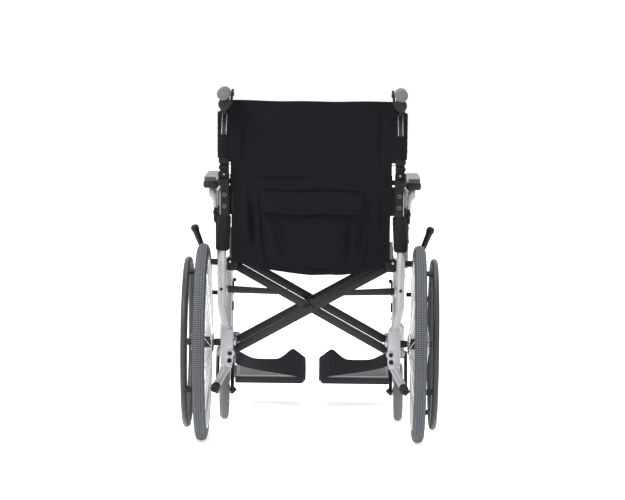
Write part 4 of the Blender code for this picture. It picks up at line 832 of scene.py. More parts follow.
stops = [
    block((0.2195, 0.405, 0.303), (0.2245, 0.425, 0.328), 0.0015),
    along_y((0.23, 0.378), 0.424, 0.416, 0.0045, 16),
    along_y((0.231, 0.289), 0.424, 0.416, 0.0048, 16),
]
both("hanger_stops", joined(*stops), BLACK_STEEL, "side", None)
print("brackets on each side", len(brackets))

# %% [markdown]
# The rear corner is one aluminium casting. It clamps the upright, the lower rail, the wheel's axle, the
# brace's rear pivot and the tipping tube that an attendant steps on. A casting has soft corners, so all edges
# are rounded.

# %% Axle block with its tipping tube
BLOCK_HALF = 0.019
BLOCK_LOW = 0.205
BLOCK_TOP = 0.3
block_body = block((0.2055, -BLOCK_HALF, BLOCK_LOW), (0.2395, BLOCK_HALF, BLOCK_TOP), 0.005)
socket = turned(
    [(-0.014, 0.013), (-0.014, 0.015), (-0.008, 0.0156), (0.0, 0.0148), (0.006, 0.0134), (0.007, 0.012)],
    (BLOCK_X + 0.0008, 0, 0.299), 32, axis="Z",
)
boss = along_y((FRAME_X, LOWER_RAIL_Z), 0.014, 0.04, 0.0155, 32, edge=0.0015)
pivot_eye = along_y((0.212, LOWER_RAIL_Z), -BLOCK_HALF - 0.003, -BLOCK_HALF + 0.006, 0.0112, 28, edge=0.0025)
pin = along_y((BRACE_X, LOWER_RAIL_Z), 0.015, 0.064, 0.006, 20)
TIP_END = Vector((0.2495, -0.105, 0.152))
tip_path = rounded([(BLOCK_X, 0, 0.215), (BLOCK_X + 0.002, -0.005, 0.195), TIP_END], 0.03, 8)
TIP_SPREAD = [1.5, 1.48, 1.44, 1.4, 1.36, 1.32, 1.28, 1.24, 1.2, 1.16, 1.12]
tip_tube = swept(tip_path, circle(0.0098, 24), sizes=TIP_SPREAD[: len(tip_path) - 1] + [1.0])
collar = rod((BLOCK_X, -0.004, 0.212), (BLOCK_X + 0.0012, -0.006, 0.196), 0.016, 28, 0.0152, 0.002)
both(
    "axle_block", joined(block_body, socket, boss, pivot_eye, pin, tip_tube, collar), SILVER, "side",
    "axle_block",
)
eye_screw = along_y(
    (0.2135, LOWER_RAIL_Z - 0.001), -BLOCK_HALF - 0.0026, -BLOCK_HALF - 0.0048, 0.0062, 6, edge=0.0005
)
foot_screw = along_y((0.2145, 0.2155), -BLOCK_HALF - 0.003, -BLOCK_HALF + 0.002, 0.0068, 6, edge=0.0008)
both("pivot_screw", joined(eye_screw, foot_screw), BLACK_STEEL, "side", None)

back = (Vector(tip_path[-2]) - TIP_END).normalized()
cap_profile = [
    (-0.017, 0.01), (-0.017, 0.0108), (-0.0155, 0.0112), (0.002, 0.0112), (0.0045, 0.01), (0.0058, 0.007),
    (0.006, 0),
]
cap = turned(cap_profile, (0, 0, 0), 32, closed=False)
rings = []
for number in range(4):
    spot = -0.0135 + number * 0.0045
    ring = [
        (spot + off, radius)
        for off, radius in ((-0.0013, 0.0108), (-0.0008, 0.0119), (0.0008, 0.0119), (0.0013, 0.0108))
    ]
    rings.append(turned(ring, (0, 0, 0), 32))
onto_tube = Matrix.Translation(TIP_END) @ Vector((1, 0, 0)).rotation_difference(-back).to_matrix().to_4x4()
both("tip_cap", moved(joined(cap, *rings), onto_tube), BLACK_PLASTIC, "side", "tip_cap")

axle_parts = [
    rod((0.204, 0, WHEEL.z), (0.322, 0, WHEEL.z), 0.006, 24),
    rod((0.1991, 0, WHEEL.z), (0.2051, 0, WHEEL.z), 0.009, 6),
]
both("axle", joined(*axle_parts), ZINC, "side", "axle")
spacer = turned(
    [(0, 0.0062), (0, 0.0092), (0.004, 0.0098), (0.0128, 0.0098), (0.0166, 0.0088), (0.0166, 0.0062)],
    (0.2399, 0, WHEEL.z), 32,
)
dome = turned(
    [(0, 0), (0, 0.011), (0.006, 0.0106), (0.011, 0.0082), (0.0135, 0.004), (0.014, 0)], (0.3174, 0, WHEEL.z),
    32,
)
both("axle_cap", joined(spacer, dome), BLACK_PLASTIC, "side", None)
print("axle block", round(BLOCK_TOP - BLOCK_LOW, 3), "m tall")

# %% [markdown]
# ## Castors
# A castor wheel trails behind its swivel, and this is what turns it the right way. The fork is a stem, a
# crown and two flat legs. The small wheel has a moulded body, a bearing at its middle and a grey tyre.

# %% Castor fork
CASTOR_RADIUS = 0.0815
CASTOR_AXLE = Vector((CASTOR.x, CASTOR.y - 0.05, CASTOR_RADIUS))
leg_outline = bar_outline((CASTOR.y + 0.001, 0.173), 0.0148, (CASTOR_AXLE.y, CASTOR_AXLE.z), 0.0125, 12)
fork = [
    block((CASTOR.x - 0.025, CASTOR.y - 0.014, 0.17), (CASTOR.x + 0.025, CASTOR.y + 0.016, 0.1894), 0.003),
    rod((CASTOR.x, CASTOR.y, 0.174), (CASTOR.x, CASTOR.y, 0.2658), 0.0066, 20),
    rod((CASTOR.x, CASTOR.y, 0.2625), (CASTOR.x, CASTOR.y, 0.27), 0.0115, 24, 0.0085, 0.001),
    plate(leg_outline, CASTOR.x - 0.0262, CASTOR.x - 0.0165, edge=0.003),
    plate(leg_outline, CASTOR.x + 0.0165, CASTOR.x + 0.0262, edge=0.003),
]
both("castor_fork", joined(*fork), BLACK_COAT, "castor_fork", "castor_fork")
bolt = [rod(CASTOR_AXLE - Vector((0.034, 0, 0)), CASTOR_AXLE + Vector((0.034, 0, 0)), 0.0038, 16)]
for side in (-1, 1):
    for near, far, radius, sides in ((0.0263, 0.0272, 0.0088, 24), (0.0272, 0.0306, 0.0074, 6)):
        ends = (CASTOR_AXLE + Vector((side * near, 0, 0)), CASTOR_AXLE + Vector((side * far, 0, 0)))
        bolt.append(rod(*ends, radius, sides))
both("castor_bolt", joined(*bolt), BLACK_COAT, "castor_fork", None)
print("castor trails", CASTOR.y - CASTOR_AXLE.y, "m")

# %% Castor wheel and tyre
body_half = [
    (0.0156, 0.0042), (0.0156, 0.01), (0.014, 0.0118), (0.006, 0.015), (0.0045, 0.019), (0.0045, 0.05),
    (0.007, 0.0535), (0.0106, 0.056), (0.011, 0.064),
]
castor_body = turned(mirrored(body_half), CASTOR_AXLE, 56)
ribs = []
for number in range(5):
    way = outward(2 * pi * number / 5)
    route = [CASTOR_AXLE + way * reach for reach in (0.013, 0.034, 0.056)]
    ribs.append(swept(route, strip(0.0045, 0.01), sizes=[(1.3, 1.1), (0.8, 0.85), (1.2, 1.15)]))
both("castor_wheel", joined(castor_body, *ribs), CASTOR_PLASTIC, "castor", "castor_wheel")
tyre_half = [
    (0.0116, 0.0648), (0.0123, 0.068), (0.0121, 0.0718), (0.0105, 0.0762), (0.0074, 0.0796),
    (0.003, CASTOR_RADIUS),
]
castor_tyre = turned(mirrored(tyre_half), CASTOR_AXLE, 72)
both("castor_tyre", castor_tyre, CASTOR_RUBBER, "castor", "castor_tyre")
print("castor", 2 * CASTOR_RADIUS, "m across")

# %% [markdown]
# ## The folding brace
# Two arms cross under the seat and share a bolt, like scissors. Each arm is two rectangular bars between a
# lower tube, which turns in the side frame, and a seat rail. When the seat rails rise, the sides come
# together. Short links from the side frames guide the rails straight up.

# %% Brace arms
SEAT_RAIL_Z = 0.47
CENTRE_Z = (LOWER_RAIL_Z + SEAT_RAIL_Z) / 2
ARM_ANGLE = atan2((SEAT_RAIL_Z - LOWER_RAIL_Z) / 2, BRACE_X)
HALF_ARM = sqrt(BRACE_X**2 + ((SEAT_RAIL_Z - LOWER_RAIL_Z) / 2) ** 2)
BARS_A = (0.05, 0.276)
BARS_B = (0.0645, 0.3075)
BAR_LOW = -0.0139
BAR_HIGH = 0.008
COLLAR = [(-0.0085, 0.0108), (-0.0065, 0.0127), (0.0065, 0.0127), (0.0085, 0.0108)]


def brace_arm(bar_ys):
    """One arm, from the left's lower tube up to the right's seat rail."""
    parts = [
        along_y((-BRACE_X, LOWER_RAIL_Z), 0.0404, 0.385, 0.011, 28, edge=0.001),
        along_y((BRACE_X, SEAT_RAIL_Z), 0.03, 0.43, 0.011, 28, edge=0.001),
    ]
    for y in bar_ys:
        bar = block((-HALF_ARM + 0.008, y - 0.006, BAR_LOW), (HALF_ARM - 0.008, y + 0.006, BAR_HIGH), 0.0022)
        turn = Matrix.Translation((0, 0, CENTRE_Z)) @ Matrix.Rotation(-ARM_ANGLE, 4, "Y")
        parts.append(moved(bar, turn))
        for x, z in ((-BRACE_X, LOWER_RAIL_Z), (BRACE_X, SEAT_RAIL_Z)):
            parts.append(turned(COLLAR, (x, y, z), 28, axis="Y"))
    return joined(*parts)


piece("brace_arm_a", brace_arm(BARS_A), BLACK_COAT, "cross_arm_a", ["cross_arm_a"])
piece("brace_arm_b", brace_arm(BARS_B), BLACK_COAT, "cross_arm_b", ["cross_arm_b"], mirror=True)
for name, near, far in (("rear", BARS_A[0], BARS_B[0]), ("front", BARS_A[1], BARS_B[1])):
    low = near - 0.0064
    high = far + 0.0064
    parts = [along_y((0, CENTRE_Z), low - 0.004, high + 0.006, 0.004, 20)]
    head = [(0, 0), (0, 0.0074), (-0.002, 0.0072), (-0.0042, 0.0056), (-0.0055, 0.0026), (-0.0057, 0)]
    parts.append(turned(head, (0, low, CENTRE_Z), 32, False, "Y"))
    parts.append(along_y((0, CENTRE_Z), high, high + 0.006, 0.0074, 6))
    piece(
        f"brace_bolt_{name}", joined(*parts), BLACK_COAT, "cross_arm_a", [f"cross_bolt_{name}"]
    )
print("brace arm", round(2 * HALF_ARM, 3), "m long, at", round(ARM_ANGLE * 180 / pi, 1), "degrees")

# %% Links and seat rail ends
LINK_REACH = 0.0778744
LINK_INNER = (LINK_REACH * cos(ARM_ANGLE), CENTRE_Z + LINK_REACH * sin(ARM_ANGLE))
for side, bar_y in (("r", BARS_A[0]), ("l", BARS_B[0])):
    near = bar_y + 0.0075
    parts = [
        plate(bar_outline(LINK_PIVOT, 0.0097, LINK_INNER, 0.007, 14), near, near + 0.005, "Y", 0.0012),
        along_y(LINK_INNER, near - 0.0014, near + 0.007, 0.006, 20),
        along_y(LINK_INNER, near - 0.0014, near, 0.0085, 24),
        along_y(LINK_PIVOT, near + 0.005, near + 0.0062, 0.0085, 24),
    ]
    piece(
        f"brace_link_{side}", joined(*parts), BLACK_COAT, f"link_{side}", [f"link_{side}"],
        side == "l",
    )
for side, arm in (("r", "cross_arm_a"), ("l", "cross_arm_b")):
    ends = []
    for low, high in ((0.0195, 0.0298), (0.4302, 0.4405)):
        ends.append(
            block(
                (BRACE_X - 0.0135, low, SEAT_RAIL_Z - 0.0185), (BRACE_X + 0.0145, high, SEAT_RAIL_Z + 0.0175),
                0.006,
            )
        )
    ends.append(along_y((BRACE_X - 0.004, SEAT_RAIL_Z - 0.006), 0.0196, 0.0172, 0.0042, 14))
    piece(f"seat_rail_caps_{side}", joined(*ends), BLACK_PLASTIC, arm, (), side == "l")
    screw = along_y((BRACE_X + 0.006, SEAT_RAIL_Z + 0.006), 0.0196, 0.017, 0.0034, 14)
    piece(f"seat_rail_screw_{side}", screw, ZINC, arm, (), side == "l")
print("links reach", round(LINK_REACH, 4), "m from the middle")

# %% [markdown]
# ## Footrests
# A hanger is a tube that hangs in the side frame and swings away for the sitter to get out. Its foot carries
# a plate that flips up, with a webbing loop behind the heel. The plate is moulded, with ribs and a tread on
# top.

# %% Hangers and latches
FOOT = Vector((FRAME_X, 0.628, 0.098))
FLIP = (0.236, 0.0905)
hanger_path = rounded(
    [(FRAME_X, HANGER_Y, 0.2864), (FRAME_X, HANGER_Y, 0.44), (FRAME_X, 0.49, 0.44), FOOT], 0.03, 8
)
hanger = [
    swept(hanger_path, circle(0.011, 24)),
    along_y(FLIP, 0.616, 0.6476, 0.014, 28, edge=0.0015),
    along_y(FLIP, 0.64, 0.78, 0.0074, 20),
]
both("hanger", joined(*hanger), SILVER, "hanger", "hanger")
LATCH_Y = HANGER_Y - 0.012
LATCH_ARM = ((0.0135, 0.37), (0.014, 0.38), (0.0165, 0.387))
LATCH_RING = [(-0.008, 0.0114), (-0.008, 0.016), (-0.0066, 0.0168)]
LATCH_RING += [(0.0066, 0.0168), (0.008, 0.0158), (0.008, 0.0114)]
latch = [
    turned(LATCH_RING, (FRAME_X, HANGER_Y, 0.3687), 36, axis="Z"),
    swept([(FRAME_X - inward, LATCH_Y, z) for inward, z in LATCH_ARM], circle(0.003, 14), up=(0, 1, 0)),
]
knob = bmesh.new()
bmesh.ops.create_uvsphere(knob, u_segments=24, v_segments=14, radius=0.0055)
bmesh.ops.translate(knob, vec=(FRAME_X - 0.0182, LATCH_Y, 0.388), verts=knob.verts)
both("hanger_latch", joined(*latch, knob), BLACK_PLASTIC, "hanger_latch", "hanger_latch")
print("hanger foot at", [round(x, 3) for x in FOOT])

# %% Footplates
PLATE_BACK = 0.648
PLATE_FRONT = 0.785
PLATE_LOW = 0.066
PLATE_TOP = 0.0882
PLATE_RISE = radians(7)
PLATE_LENGTH = (PLATE_FRONT - PLATE_BACK - (PLATE_TOP - PLATE_LOW) * sin(PLATE_RISE)) / cos(PLATE_RISE)
TIP_UP = (
    Matrix.Translation((0, PLATE_BACK, PLATE_TOP))
    @ Matrix.Rotation(PLATE_RISE, 4, "X")
    @ Matrix.Translation((0, -PLATE_BACK, -PLATE_TOP))
)
plan = [(0.2235, 0.003), (0.2205, 0), (0.034, 0), (0.0265, 0.0035), (0.0235, 0.012)]
plan = (
    [(x, PLATE_BACK + y) for x, y in plan] + [(x, PLATE_BACK + PLATE_LENGTH - y) for x, y in reversed(plan)]
)
shell = [plate(plan, PLATE_LOW + 0.0004, PLATE_TOP - 0.0004, "Z", 0.0022)]
shell.append(
    block(
        (0.03, PLATE_BACK - 0.0006, PLATE_LOW - 0.0002), (0.2205, PLATE_BACK + 0.004, PLATE_LOW + 0.0024),
        0.0007,
    )
)
tread = [
    block(
        (0.031, PLATE_BACK - 0.0008, PLATE_TOP - 0.0036), (0.2205, PLATE_BACK + 0.13, PLATE_TOP + 0.0004),
        0.0012,
    )
]
for row in range(9):
    y = PLATE_BACK + 0.016 + row * 0.0132
    tread.append(
        swept(
            [(0.036, y, PLATE_TOP + 0.0004), (0.212, y, PLATE_TOP + 0.0004)], strip(0.0022, 0.0009),
            up=(0, 0, 1),
        )
    )
both("footplate_tread", moved(joined(*tread), TIP_UP), PLATE_TREAD, "footplate", None)
# A pale strip along the top of the plate's rear face: a painted highlight on that edge.
lip = block(
    (0.031, PLATE_BACK - 0.0011, PLATE_TOP - 0.0014), (0.2205, PLATE_BACK + 0.004, PLATE_TOP + 0.0009), 0.0007
)
both("footplate_lip_highlight", moved(lip, TIP_UP), PLATE_EDGE_HIGHLIGHT, "footplate", None)
for x in (0.06, 0.105, 0.15, 0.195):
    shell.append(
        block(
            (x - 0.0012, PLATE_BACK - 0.0007, PLATE_LOW + 0.002),
            (x + 0.0012, PLATE_BACK + 0.002, PLATE_TOP - 0.002), 0.0004,
        )
    )
lug = block(
    (0.206, PLATE_BACK + 0.001, PLATE_LOW + 0.005), (0.2225, PLATE_BACK + 0.03, PLATE_TOP - 0.001), 0.002
)
hub = along_y(FLIP, PLATE_BACK, PLATE_FRONT, 0.0149, 32, edge=0.002)
both(
    "footplate", joined(moved(joined(*shell), TIP_UP), lug, hub), PLATE_PLASTIC, "footplate", "footplate",
)
print("footplate", PLATE_FRONT - PLATE_BACK, "m deep")

# %% [markdown]
# A heel loop is a wide band of webbing, sewn to a loop at each end. It stands up because the band is stiff,
# and it comes to a soft peak where it turns round the plate's inner corner. The band is a strip of quads that
# follows a curved route, and a Solidify modifier gives it thickness.


# %% Cloth from a formula
def cloth(place, columns, rows):
    """A sheet of quads, laid where place says for each u and v from 0 to 1."""
    bm = bmesh.new()
    bmesh.ops.create_grid(bm, x_segments=columns, y_segments=rows, size=0.5)
    for vert in bm.verts:
        vert.co = place(vert.co.x + 0.5, vert.co.y + 0.5)
    return bm


def along(route, share):
    """A smooth point at a share of the way through a list of points."""
    spot = share * (len(route) - 1)
    i = min(int(spot), len(route) - 2)
    t = spot - i
    before, start, end, after = (
        route[max(i - 1, 0)], route[i], route[i + 1], route[min(i + 2, len(route) - 1)]
    )
    return [
        0.5 * (2 * b + (c - a) * t + (2 * a - 5 * b + 4 * c - d) * t**2 + (3 * b - a - 3 * c + d) * t**3)
        for a, b, c, d in zip(before, start, end, after)
    ]


def thick(made, depth):
    """Gives a sheet its thickness, and rounds the cut edges a little."""
    solid = made.modifiers.new("thickness", "SOLIDIFY")
    solid.thickness = depth
    solid.offset = 0.0
    solid.use_even_offset = True
    edge = made.modifiers.new("edges", "BEVEL")
    edge.width = depth * 0.3
    edge.segments = 2
    edge.limit_method = "ANGLE"
    edge.angle_limit = radians(50)
    return made


LOOP_ROUTE = [
    (0.2225, 0.642, 0.124, 0.1635), (0.205, 0.622, 0.119, 0.159), (0.185, 0.606, 0.116, 0.151),
    (0.168, 0.601, 0.113, 0.1455), (0.15, 0.599, 0.11, 0.144), (0.13, 0.598, 0.107, 0.1438),
    (0.112, 0.598, 0.1045, 0.144), (0.096, 0.599, 0.102, 0.146), (0.08, 0.6005, 0.099, 0.156),
    (0.064, 0.603, 0.096, 0.169), (0.056, 0.605, 0.0945, 0.1725), (0.047, 0.61, 0.092, 0.168),
    (0.037, 0.619, 0.087, 0.159), (0.027, 0.632, 0.079, 0.15), (0.021, 0.647, 0.0745, 0.143),
    (0.0205, 0.67, 0.074, 0.135), (0.0205, 0.7, 0.074, 0.125), (0.0205, 0.74, 0.078, 0.11),
]


def loop_place(u, v):
    """A point of the heel loop: u goes along the band, v up it."""
    x, y, low, high = along(LOOP_ROUTE, u)
    crease = 0.0021 * sin(64 * u + 5 * v + 2 * sin(7 * v)) * exp(-(((u - 0.66) / 0.13) ** 2))
    slack = 0.0035 * sin(pi * v) * exp(-(((u - 0.3) / 0.25) ** 2))
    return Vector((x, y - slack + crease, low + v * (high - low)))


loops = both("heel_loop", cloth(loop_place, 110, 20), LOOP_CLOTH, "footplate", "heel_loop")
for side, made in zip("rl", loops):
    thick(made, 0.0026)
    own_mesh(made)
seams = []
for v in (0.06, 0.94):
    route = [loop_place(i / 60, v) + Vector((0, -0.0016, 0)) for i in range(2, 38)]
    seams.append(thread_along(route))
both("heel_loop_seams", joined(*seams), THREAD, "footplate", None)
print("heel loop band", round(LOOP_ROUTE[0][3] - LOOP_ROUTE[0][2], 3), "m tall at its outer end")

# %% [markdown]
# ## Armrests
# The armrest is one bent tube. It hinges on a tongue behind and stands in a socket in front. A moulded foam
# pad lies on it, and a thin guard inside it keeps clothes out of the wheel.

# %% Armrest tubes
ARM_X = 0.2635
ARM_Z = 0.668
ARM_BACK = (0.03, 0.606)
ARM_FRONT_Y = 0.345
FLAT_X = 0.2546
GUARD_X = 0.255
arm_path = rounded(
    [
        (ARM_X, ARM_BACK[0], 0.649), (ARM_X, ARM_BACK[0], ARM_Z), (ARM_X, 0.2, ARM_Z),
        (GUARD_X, ARM_FRONT_Y, ARM_Z), (GUARD_X, ARM_FRONT_Y, 0.5124),
    ],
    0.03,
    9,
)
flare_points = [
    (0.2573, 0.619), (0.2574, 0.6215), (0.2578, 0.636), (0.2592, 0.645), (0.2618, 0.651), (ARM_X, 0.657)
]
flare_sizes = [
    (0.0052, 0.0105), (0.0059, 0.0112), (0.0064, 0.0116), (0.008, 0.0119), (0.0104, 0.0117), (0.0115, 0.0115)
]
flare = swept([(x, ARM_BACK[0], z) for x, z in flare_points], squared(1, 28), up=(0, 1, 0), sizes=flare_sizes)
tongue = plate(
    bar_outline(ARM_BACK, 0.0103, (ARM_BACK[0], 0.622), 0.0103, 12), FLAT_X - 0.0032, FLAT_X + 0.0032,
    edge=0.0006,
)
ferrule = turned(
    [(-0.005, 0.0115), (-0.005, 0.0127), (0.004, 0.0127), (0.005, 0.012), (0.005, 0.0115)],
    (GUARD_X, ARM_FRONT_Y, 0.518), 28, axis="Z",
)
both(
    "armrest_tube", joined(swept(arm_path, circle(0.0115, 24)), flare, tongue, ferrule), SILVER, "armrest",
    "armrest_tube",
)
button = rod(
    (GUARD_X + 0.011, ARM_FRONT_Y, 0.545), (GUARD_X + 0.0132, ARM_FRONT_Y, 0.545), 0.0045, 18, edge=0.0008
)
both("armrest_button", button, ZINC, "armrest", None)
print("armrest top", ARM_Z + 0.0115, "m up")

# %% Arm pads
PAD_LOW = ARM_Z + 0.0119
PAD_X = 0.2705
PAD_Y = 0.14
PAD_HALF = 0.0175
PAD_REACH = 0.139
PAD_HEIGHT = 0.0235
pad = block(
    (PAD_X - PAD_HALF, PAD_Y - PAD_REACH, PAD_LOW),
    (PAD_X + PAD_HALF, PAD_Y + PAD_REACH, PAD_LOW + PAD_HEIGHT), 0,
)
bmesh.ops.subdivide_edges(pad, edges=pad.edges[:], cuts=7, use_grid_fill=True)
for vert in pad.verts:
    across = (vert.co.x - PAD_X) / PAD_HALF
    ahead = (vert.co.y - PAD_Y) / PAD_REACH
    across *= 1.7 - 0.7 * abs(across)
    ahead *= 2.0 - 1.0 * abs(ahead)
    up = (vert.co.z - PAD_LOW) / PAD_HEIGHT
    pinch = 1 - 0.1 * abs(ahead) ** 8 - 0.1 * (1 - up) ** 2
    vert.co.x = PAD_X + across * PAD_HALF * pinch
    vert.co.y = PAD_Y + ahead * PAD_REACH
    vert.co.z = PAD_LOW + PAD_HEIGHT * up * (1 - 0.05 * abs(across) ** 3 * up - 0.03 * abs(ahead) ** 6 * up)
for made in both("arm_pad", pad, PAD_SKIN, "armrest", "arm_pad", smooth=180):
    edge = made.modifiers.new("soft", "SUBSURF")
    edge.levels = edge.render_levels = 2
pad_base = block((0.2478, -0.0012, PAD_LOW - 0.0075), (0.2888, 0.2775, PAD_LOW + 0.0135), 0.0065)
both("pad_base", pad_base, BLACK_PLASTIC, "armrest", None)
pad_screws = [
    rod((0.2635, y, ARM_Z - 0.0135), (0.2635, y, ARM_Z - 0.0105), 0.0045, 14) for y in (0.075, 0.205)
]
both("pad_screws", joined(*pad_screws), ZINC, "armrest", None)
guard_outline = [
    (0.0424, 0.536), (0.0624, 0.516), (0.3331, 0.516), (0.3331, 0.6375), (0.327, 0.65), (0.3146, 0.6561),
    (0.0609, 0.6561), (0.0485, 0.65), (0.0424, 0.6375),
]
guard = [plate(guard_outline, GUARD_X - 0.0015, GUARD_X + 0.0015, edge=0.001)]
inner = [((y - 0.188) * 0.92 + 0.188, (z - 0.586) * 0.84 + 0.586) for y, z in guard_outline]
guard += [plate(inner, GUARD_X + low, GUARD_X + low + 0.001, edge=0.0004) for low in (0.0012, -0.0022)]
both("skirt_guard", joined(*guard), BLACK_PLASTIC, "armrest", "skirt_guard")
print("arm pad", 2 * PAD_REACH, "m long")

# %% [markdown]
# ## The folding back
# The back folds in half at a hinge on each upright. A lower bracket is screwed to the upright, an upper block
# turns on its pin, and a spring catch in front holds the back straight. Above it the post bends back to the
# grip.

# %% Hinge brackets
HINGE_Z = 0.716
PIN_Y = -0.02
HALF = 0.0158
INNER = 0.013
DEEP = 0.018
SCREW_HEIGHTS = (0.631, 0.662)


def hinge_rod(start, end, radius):
    """A rod on the hinge's line, from one distance off the upright's centre to another."""
    return rod((POST_X + start, PIN_Y, HINGE_Z), (POST_X + end, PIN_Y, HINGE_Z), radius, 28, edge=0.0008)


def hinge_block(across, ahead, up, edge):
    """A block from low to high on each axis, measured across from the upright and up from the pin."""
    ends = ((POST_X + x, y, HINGE_Z + z) for x, y, z in zip(across, ahead, up))
    return block(*ends, edge)


EAR_UP = (-0.014, -0.001)
lower = [
    hinge_block((-INNER, 0.01), (-DEEP, -0.005), (-0.1105, -0.01), 0.003),
    hinge_block((-INNER, 0.01), (-0.0052, DEEP), (-0.1105, -0.0202), 0.003),
    hinge_block((-INNER, HALF - 0.0015), (-0.0052, DEEP), (-0.024, -0.0002), 0.003),
    hinge_block((-INNER, HALF), (-DEEP - 0.0018, 0.004), (-0.0325, -0.0075), 0.0055),
    hinge_rod(-INNER + 0.0004, -HALF / 2 - 0.0008, 0.008),
    hinge_rod(HALF / 2 + 0.0008, HALF - 0.0004, 0.008),
    hinge_block((-INNER + 0.0006, -HALF / 2 - 0.001), (PIN_Y, -0.004), EAR_UP, 0.001),
    hinge_block((HALF / 2 + 0.001, HALF - 0.0006), (PIN_Y, -0.004), EAR_UP, 0.001),
]
hinge_shape = moved(joined(*lower), LEAN)
ear_in = FLAT_X - 0.0036
ear_out = FLAT_X + 0.0036
ear_outline = bar_outline(ARM_BACK, 0.0115, (ARM_BACK[0], 0.59), 0.0092, 14)
yoke = [
    (0.2375, 0.572), (0.2375, 0.5941), (ear_out + 0.003, 0.5941), (ear_out + 0.003, 0.5901), (0.254, 0.572)
]
arm_socket = [
    block((0.2355, -0.0028, 0.608), (ear_in - 0.0002, 0.0405, 0.624), 0.002),
    block((0.2365, 0.012, 0.574), (ear_in - 0.001, 0.04, 0.619), 0.002),
    plate(yoke, 0.0205, 0.0395, "Y", 0.0012),
    plate(
        [
            (ear_in - 0.003, 0.59), (ear_in - 0.003, 0.6195), (ear_out + 0.0028, 0.6195),
            (ear_out + 0.001, 0.59),
        ],
        0.0168,
        0.0188,
        "Y",
        0.0006,
    ),
    plate(ear_outline, ear_in - 0.003, ear_in, edge=0.0008),
    plate(ear_outline, ear_out, ear_out + 0.0028, edge=0.0008),
    rod((ear_in - 0.0045, *ARM_BACK), (ear_out + 0.0045, *ARM_BACK), 0.003, 16),
    rod((ear_out + 0.0028, *ARM_BACK), (ear_out + 0.0048, *ARM_BACK), 0.0062, 6),
]
both("back_hinge", joined(hinge_shape, *arm_socket), BLACK_STEEL, "side", "back_hinge")
washer = [
    (-0.002, 0.0032), (-0.0024, 0.004), (-0.0022, 0.005), (-0.0006, 0.0056), (0.0004, 0.0056),
    (0.0004, 0.0032),
]
screw_parts = [turned(washer, (POST_X - 0.0005, -DEEP, z), 26, axis="Y") for z in SCREW_HEIGHTS]
screw_parts += [
    hinge_rod(-INNER - 0.0008, -INNER + 0.001, 0.004), hinge_rod(HALF - 0.001, HALF + 0.0008, 0.004)
]
both("hinge_screws", moved(joined(*screw_parts), LEAN), SCREW_GREY, "side", None)
# A black disc in each screw head stands for its hex socket: painted shade deep in the recess.
sockets = [
    along_y((POST_X - 0.0005, z), -DEEP - 0.0006, -DEEP + 0.001, 0.0033, 16, edge=0) for z in SCREW_HEIGHTS
]
both("hinge_sockets", moved(joined(*sockets), LEAN), BLACK_PLASTIC, "side", None)
print("hinge", round(lean(POST_X, 0, HINGE_Z).z, 3), "m up")

# %% Posts
HANDLE_X = 0.23
HANDLE_Z = 0.928
HANDLE_END = -0.185
post_top = lean(POST_X, 0, TILT_Z + (HANDLE_Z - TILT_Z) / cos(BACK_TILT))
post_path = rounded(
    [lean(POST_X, 0, 0.741), (HANDLE_X, post_top.y, HANDLE_Z), (HANDLE_X, HANDLE_END, HANDLE_Z)], 0.03, 10
)
upper = [
    hinge_block((-INNER + 0.001, HALF - 0.0035), (-0.0055, DEEP), (0.0002, 0.04), 0.0035),
    hinge_block((-INNER, HALF - 0.0005), (-DEEP, -0.005), (0.01, 0.0245), 0.0062),
    hinge_block((-INNER - 0.0008, HALF - 0.0005), (-DEEP + 0.001, -0.005), (0.0275, 0.0445), 0.0055),
    hinge_rod(-HALF / 2 + 0.0004, HALF / 2 - 0.0004, 0.008),
    hinge_block((-HALF / 2 + 0.0006, HALF / 2 - 0.0006), (PIN_Y, -0.004), (0.001, 0.014), 0.001),
    turned(
        [(-0.004, 0.0128), (-0.004, 0.015), (0.003, 0.0146), (0.004, 0.014), (0.004, 0.0128)],
        (POST_X, 0, 0.759), 30, axis="Z",
    ),
]
post = [moved(joined(*upper), LEAN), swept(post_path, circle(TUBE, 24))]
both("back_post", joined(*post), BLACK_STEEL, "back_post", "back_post")
stud = turned(
    [(0, 0), (0, 0.0018), (0.001, 0.0024), (0.0035, 0.0024), (0.0035, 0)],
    (POST_X + 0.0002, -DEEP - 0.011, HINGE_Z + 0.0025), 18, False, "Y",
)
both("hinge_stud", moved(stud, LEAN), ZINC, "back_post", None)
catch_outline = bar_outline((0.0204, 0.67), 0.002, (0.0204, 0.738), 0.002, 6)
catch = [plate(catch_outline, POST_X - 0.009, POST_X + 0.009, edge=0.0006)]
catch.append(
    plate(
        bar_outline((0.0204, 0.732), 0.0018, (0.0324, 0.74), 0.0018, 6), POST_X - 0.006, POST_X + 0.006,
        edge=0.0006,
    )
)
both("back_lock", moved(joined(*catch), LEAN), BLACK_COAT, "back_lock", "back_lock")
print("handle", HANDLE_Z, "m up")

# %% [markdown]
# The grips are ribbed rubber sleeves, pushed onto the ends of the posts. Under each one an attendant brake
# lever turns in a housing: a folded steel channel, open at its back.

